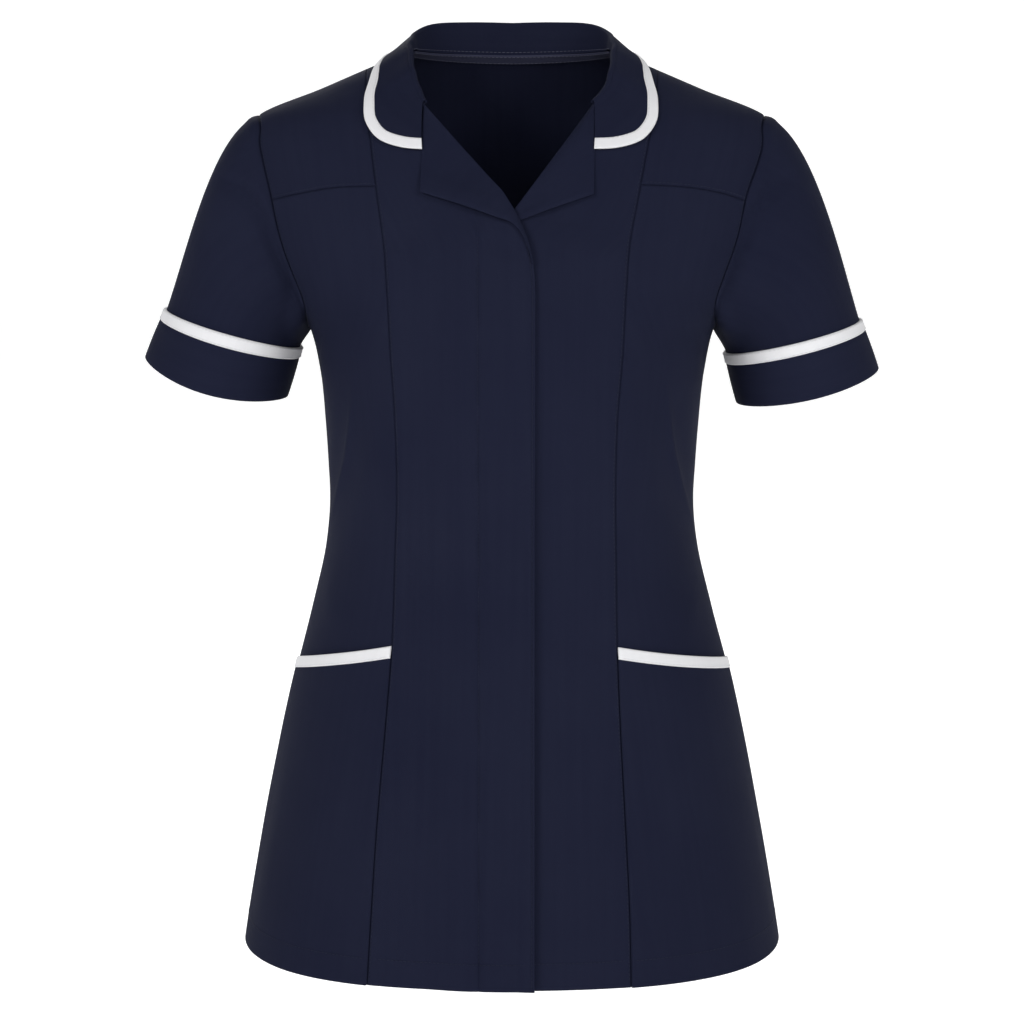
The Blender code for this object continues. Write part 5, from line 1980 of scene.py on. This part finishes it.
def hem_lines():
    """Stitch lines along the turned-up hem, each stopped a little before the seams."""
    lines = []
    height = np.full(HEM_SAMPLES, float(HEM + HEM_STITCH_HEIGHT))
    for side in SIDES:
        edge = front_edge(side)[-1][0]
        seam = princess_path(side, SHOULDER_PRINCESS, HEM)[-1][0]
        angle = np.linspace(edge + 1.0, seam - 0.4, HEM_SAMPLES)
        lines.append(line_at(angle, height, side, front_lift(angle, height, side)))
        angle = np.linspace(seam + 0.4, 89.6, HEM_SAMPLES)
        lines.append(line_at(angle, height, side, POCKET_GAP + CLOTH))
    angle = np.linspace(90.4, 269.6, BACK_HEM_SAMPLES)
    lines.append(line_at(angle, np.full(BACK_HEM_SAMPLES, height[0]), None, 0.0))
    return lines


make_stitches(
    "stitches_navy", body_lines() + front_lines() + hem_lines(), NAVY_THREAD
)

# %% Lines on the bindings
CUFF_STITCH_INSET = 1.3
POCKET_STITCH_INSET = 1.4
COLLAR_STITCH_ROW = 4
COLLAR_STITCH_LIFT = 1.1


def cuff_strip_lines(side):
    lines = []
    for up in (CUFF_DEPTH - CUFF_STRIP + CUFF_STITCH_INSET, CUFF_DEPTH - CUFF_STITCH_INSET):
        points = on_cuff(side, up, LAYER_GAP + 0.4 + BINDING)
        farther = on_cuff(side, up, 10)
        ring = np.vstack([points, points[:1]])
        out = np.vstack([farther, farther[:1]]) - ring
        lines.append((mirrored(ring, side), mirrored(unit(out), side)))
    return lines


def pocket_strip_line(side):
    points, normals, down, mouth, share = pocket_base(side)
    place = POCKET_BINDING_WIDTH - POCKET_STITCH_INSET
    spot = rows_at(points, down, mouth + place)
    normal = unit(rows_at(normals, down, mouth + place))
    lift = pocket_lift(np.full(len(share), place), share) + 0.65 + BINDING * 0.75
    return mirrored(spot + normal * lift[:, None], side), mirrored(normal, side)


def collar_strip_line():
    strip = make_collar()[1]
    out = upward_normals(strip)[COLLAR_STITCH_ROW]
    return strip[COLLAR_STITCH_ROW] + out * COLLAR_STITCH_LIFT, out


white_lines = [collar_strip_line()]
for side in SIDES:
    white_lines += cuff_strip_lines(side)
    white_lines.append(pocket_strip_line(side))
make_stitches("stitches_white", white_lines, WHITE_THREAD)

# %% Lines on the neck tape
STAND_STITCH_SHARE = 0.85
STAND_ROWS = 6
TAPE_STITCH_INSET = 1.2


def tape_stitch_line(place):
    angle, height = tape_line(TAPE_START + place)
    points, normals = figure(angle, height), figure_normal(angle, height)
    return points - normals * (CLOTH + 0.2 + TAPE_THICKNESS), -normals


def stand_stitch_line():
    """The line that holds the collar's seam, on the inside of its stand."""
    rows = collar_shape()[0][:STAND_ROWS]
    back = rows[1, :, 1] > -2
    middle = rows[:, back].mean(axis=(0, 1)) * np.array([1, 0, 1])
    normals = sheet_normals(rows)[1][back]
    normals = normals * np.sign(np.sum(normals * (middle - rows[1][back])))
    spots = rows[0] + (rows[1] - rows[0]) * STAND_STITCH_SHARE
    return spots[back] + normals * (CLOTH / 2 + 0.05), normals


tape_places = (TAPE_STITCH_INSET, TAPE_WIDTH - TAPE_STITCH_INSET)
tape_lines = [tape_stitch_line(place) for place in tape_places] + [stand_stitch_line()]
make_stitches("stitches_tape", tape_lines, TAPE_THREAD)

# %% [markdown]
# ## Floor, backdrop and light
# The photograph is a studio picture on white. One pale sheet serves as the floor and curves
# up into the backdrop. The light is soft: two large lamps stand in front, to the left and
# to the right, a weaker one between them, and one behind for the back of the tunic.

# %% Stage
STAGE_FLOOR = -0.95
STAGE_HALF_WIDTH = 16.0
STAGE_FRONT = -18.0
STAGE_BEND = 4.0
STAGE_RADIUS = 1.6
STAGE_HEIGHT = 7.0
STAGE_COLOUR = (0.9, 0.9, 0.9, 1)
STAGE_GLOW = 0.5


def make_stage():
    profile = [(STAGE_FRONT, STAGE_FLOOR), (STAGE_BEND, STAGE_FLOOR)]
    for turn in np.linspace(0, math.pi / 2, 13)[1:]:
        profile.append((
            STAGE_BEND + STAGE_RADIUS * math.sin(turn),
            STAGE_FLOOR + STAGE_RADIUS * (1 - math.cos(turn)),
        ))
    profile.append((STAGE_BEND + STAGE_RADIUS, STAGE_HEIGHT))
    points = [(x, y, z) for x in (-STAGE_HALF_WIDTH, STAGE_HALF_WIDTH) for y, z in profile]
    count = len(profile)
    faces = [(k, count + k, count + k + 1, k + 1) for k in range(count - 1)]
    mesh = bpy.data.meshes.new("studio_sheet")
    mesh.from_pydata(points, [], faces)
    mesh.shade_smooth()
    material = bpy.data.materials.new("studio_paper")
    material.use_nodes = True
    shader = material.node_tree.nodes["Principled BSDF"]
    shader.inputs["Base Color"].default_value = STAGE_COLOUR
    shader.inputs["Roughness"].default_value = 0.9
    shader.inputs["Specular IOR Level"].default_value = 0.1
    shader.inputs["Emission Color"].default_value = (1, 1, 1, 1)
    shader.inputs["Emission Strength"].default_value = STAGE_GLOW
    mesh.materials.append(material)
    stage = bpy.data.objects.new("studio_sheet", mesh)
    bpy.context.scene.collection.objects.link(stage)
    stage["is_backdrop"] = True
    return stage


print("made", make_stage().name)

# %% Lamps and sky
LAMP_AIM = (0, 0, -0.35)
LAMP_COLUMNS = ("name", "place", "size", "power")
LAMP_ROWS = (
    ("lamp_left", (-2.6, -2.5, 1.9), 1.3, 72),
    ("lamp_right", (2.7, -2.5, 1.6), 1.3, 60),
    ("lamp_front", (0.2, -3.6, 0.3), 1.6, 24),
    ("lamp_back", (-0.7, 2.9, 1.1), 1.4, 36),
)
SKY_COLOUR = (1.0, 1.0, 1.0, 1)
SKY_STRENGTH = 0.20


def make_lamps():
    for name, place, size, power in LAMP_ROWS:
        data = bpy.data.lights.new(name, "AREA")
        data.size = size
        data.energy = power
        lamp = bpy.data.objects.new(name, data)
        lamp.location = place
        facing = np.array(LAMP_AIM) - np.array(place)
        flat = math.hypot(facing[0], facing[1])
        lamp.rotation_euler = (math.atan2(flat, -facing[2]), 0, math.atan2(-facing[0], facing[1]))
        bpy.context.scene.collection.objects.link(lamp)
    sky = bpy.data.worlds.new("sky")
    bpy.context.scene.world = sky
    sky.use_nodes = True
    light = sky.node_tree.nodes["Background"]
    light.inputs["Color"].default_value = SKY_COLOUR
    light.inputs["Strength"].default_value = SKY_STRENGTH
    bpy.context.scene.view_settings.view_transform = "Standard"
    print("lamps:", len(LAMP_ROWS), "rows of", ", ".join(LAMP_COLUMNS))


make_lamps()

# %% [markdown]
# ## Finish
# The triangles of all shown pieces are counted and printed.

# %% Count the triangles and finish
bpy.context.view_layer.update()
triangles = sum(len(piece.data.loops) - 2 * len(piece.data.polygons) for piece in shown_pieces())
print("pieces:", len(PIECES), "triangles:", triangles)
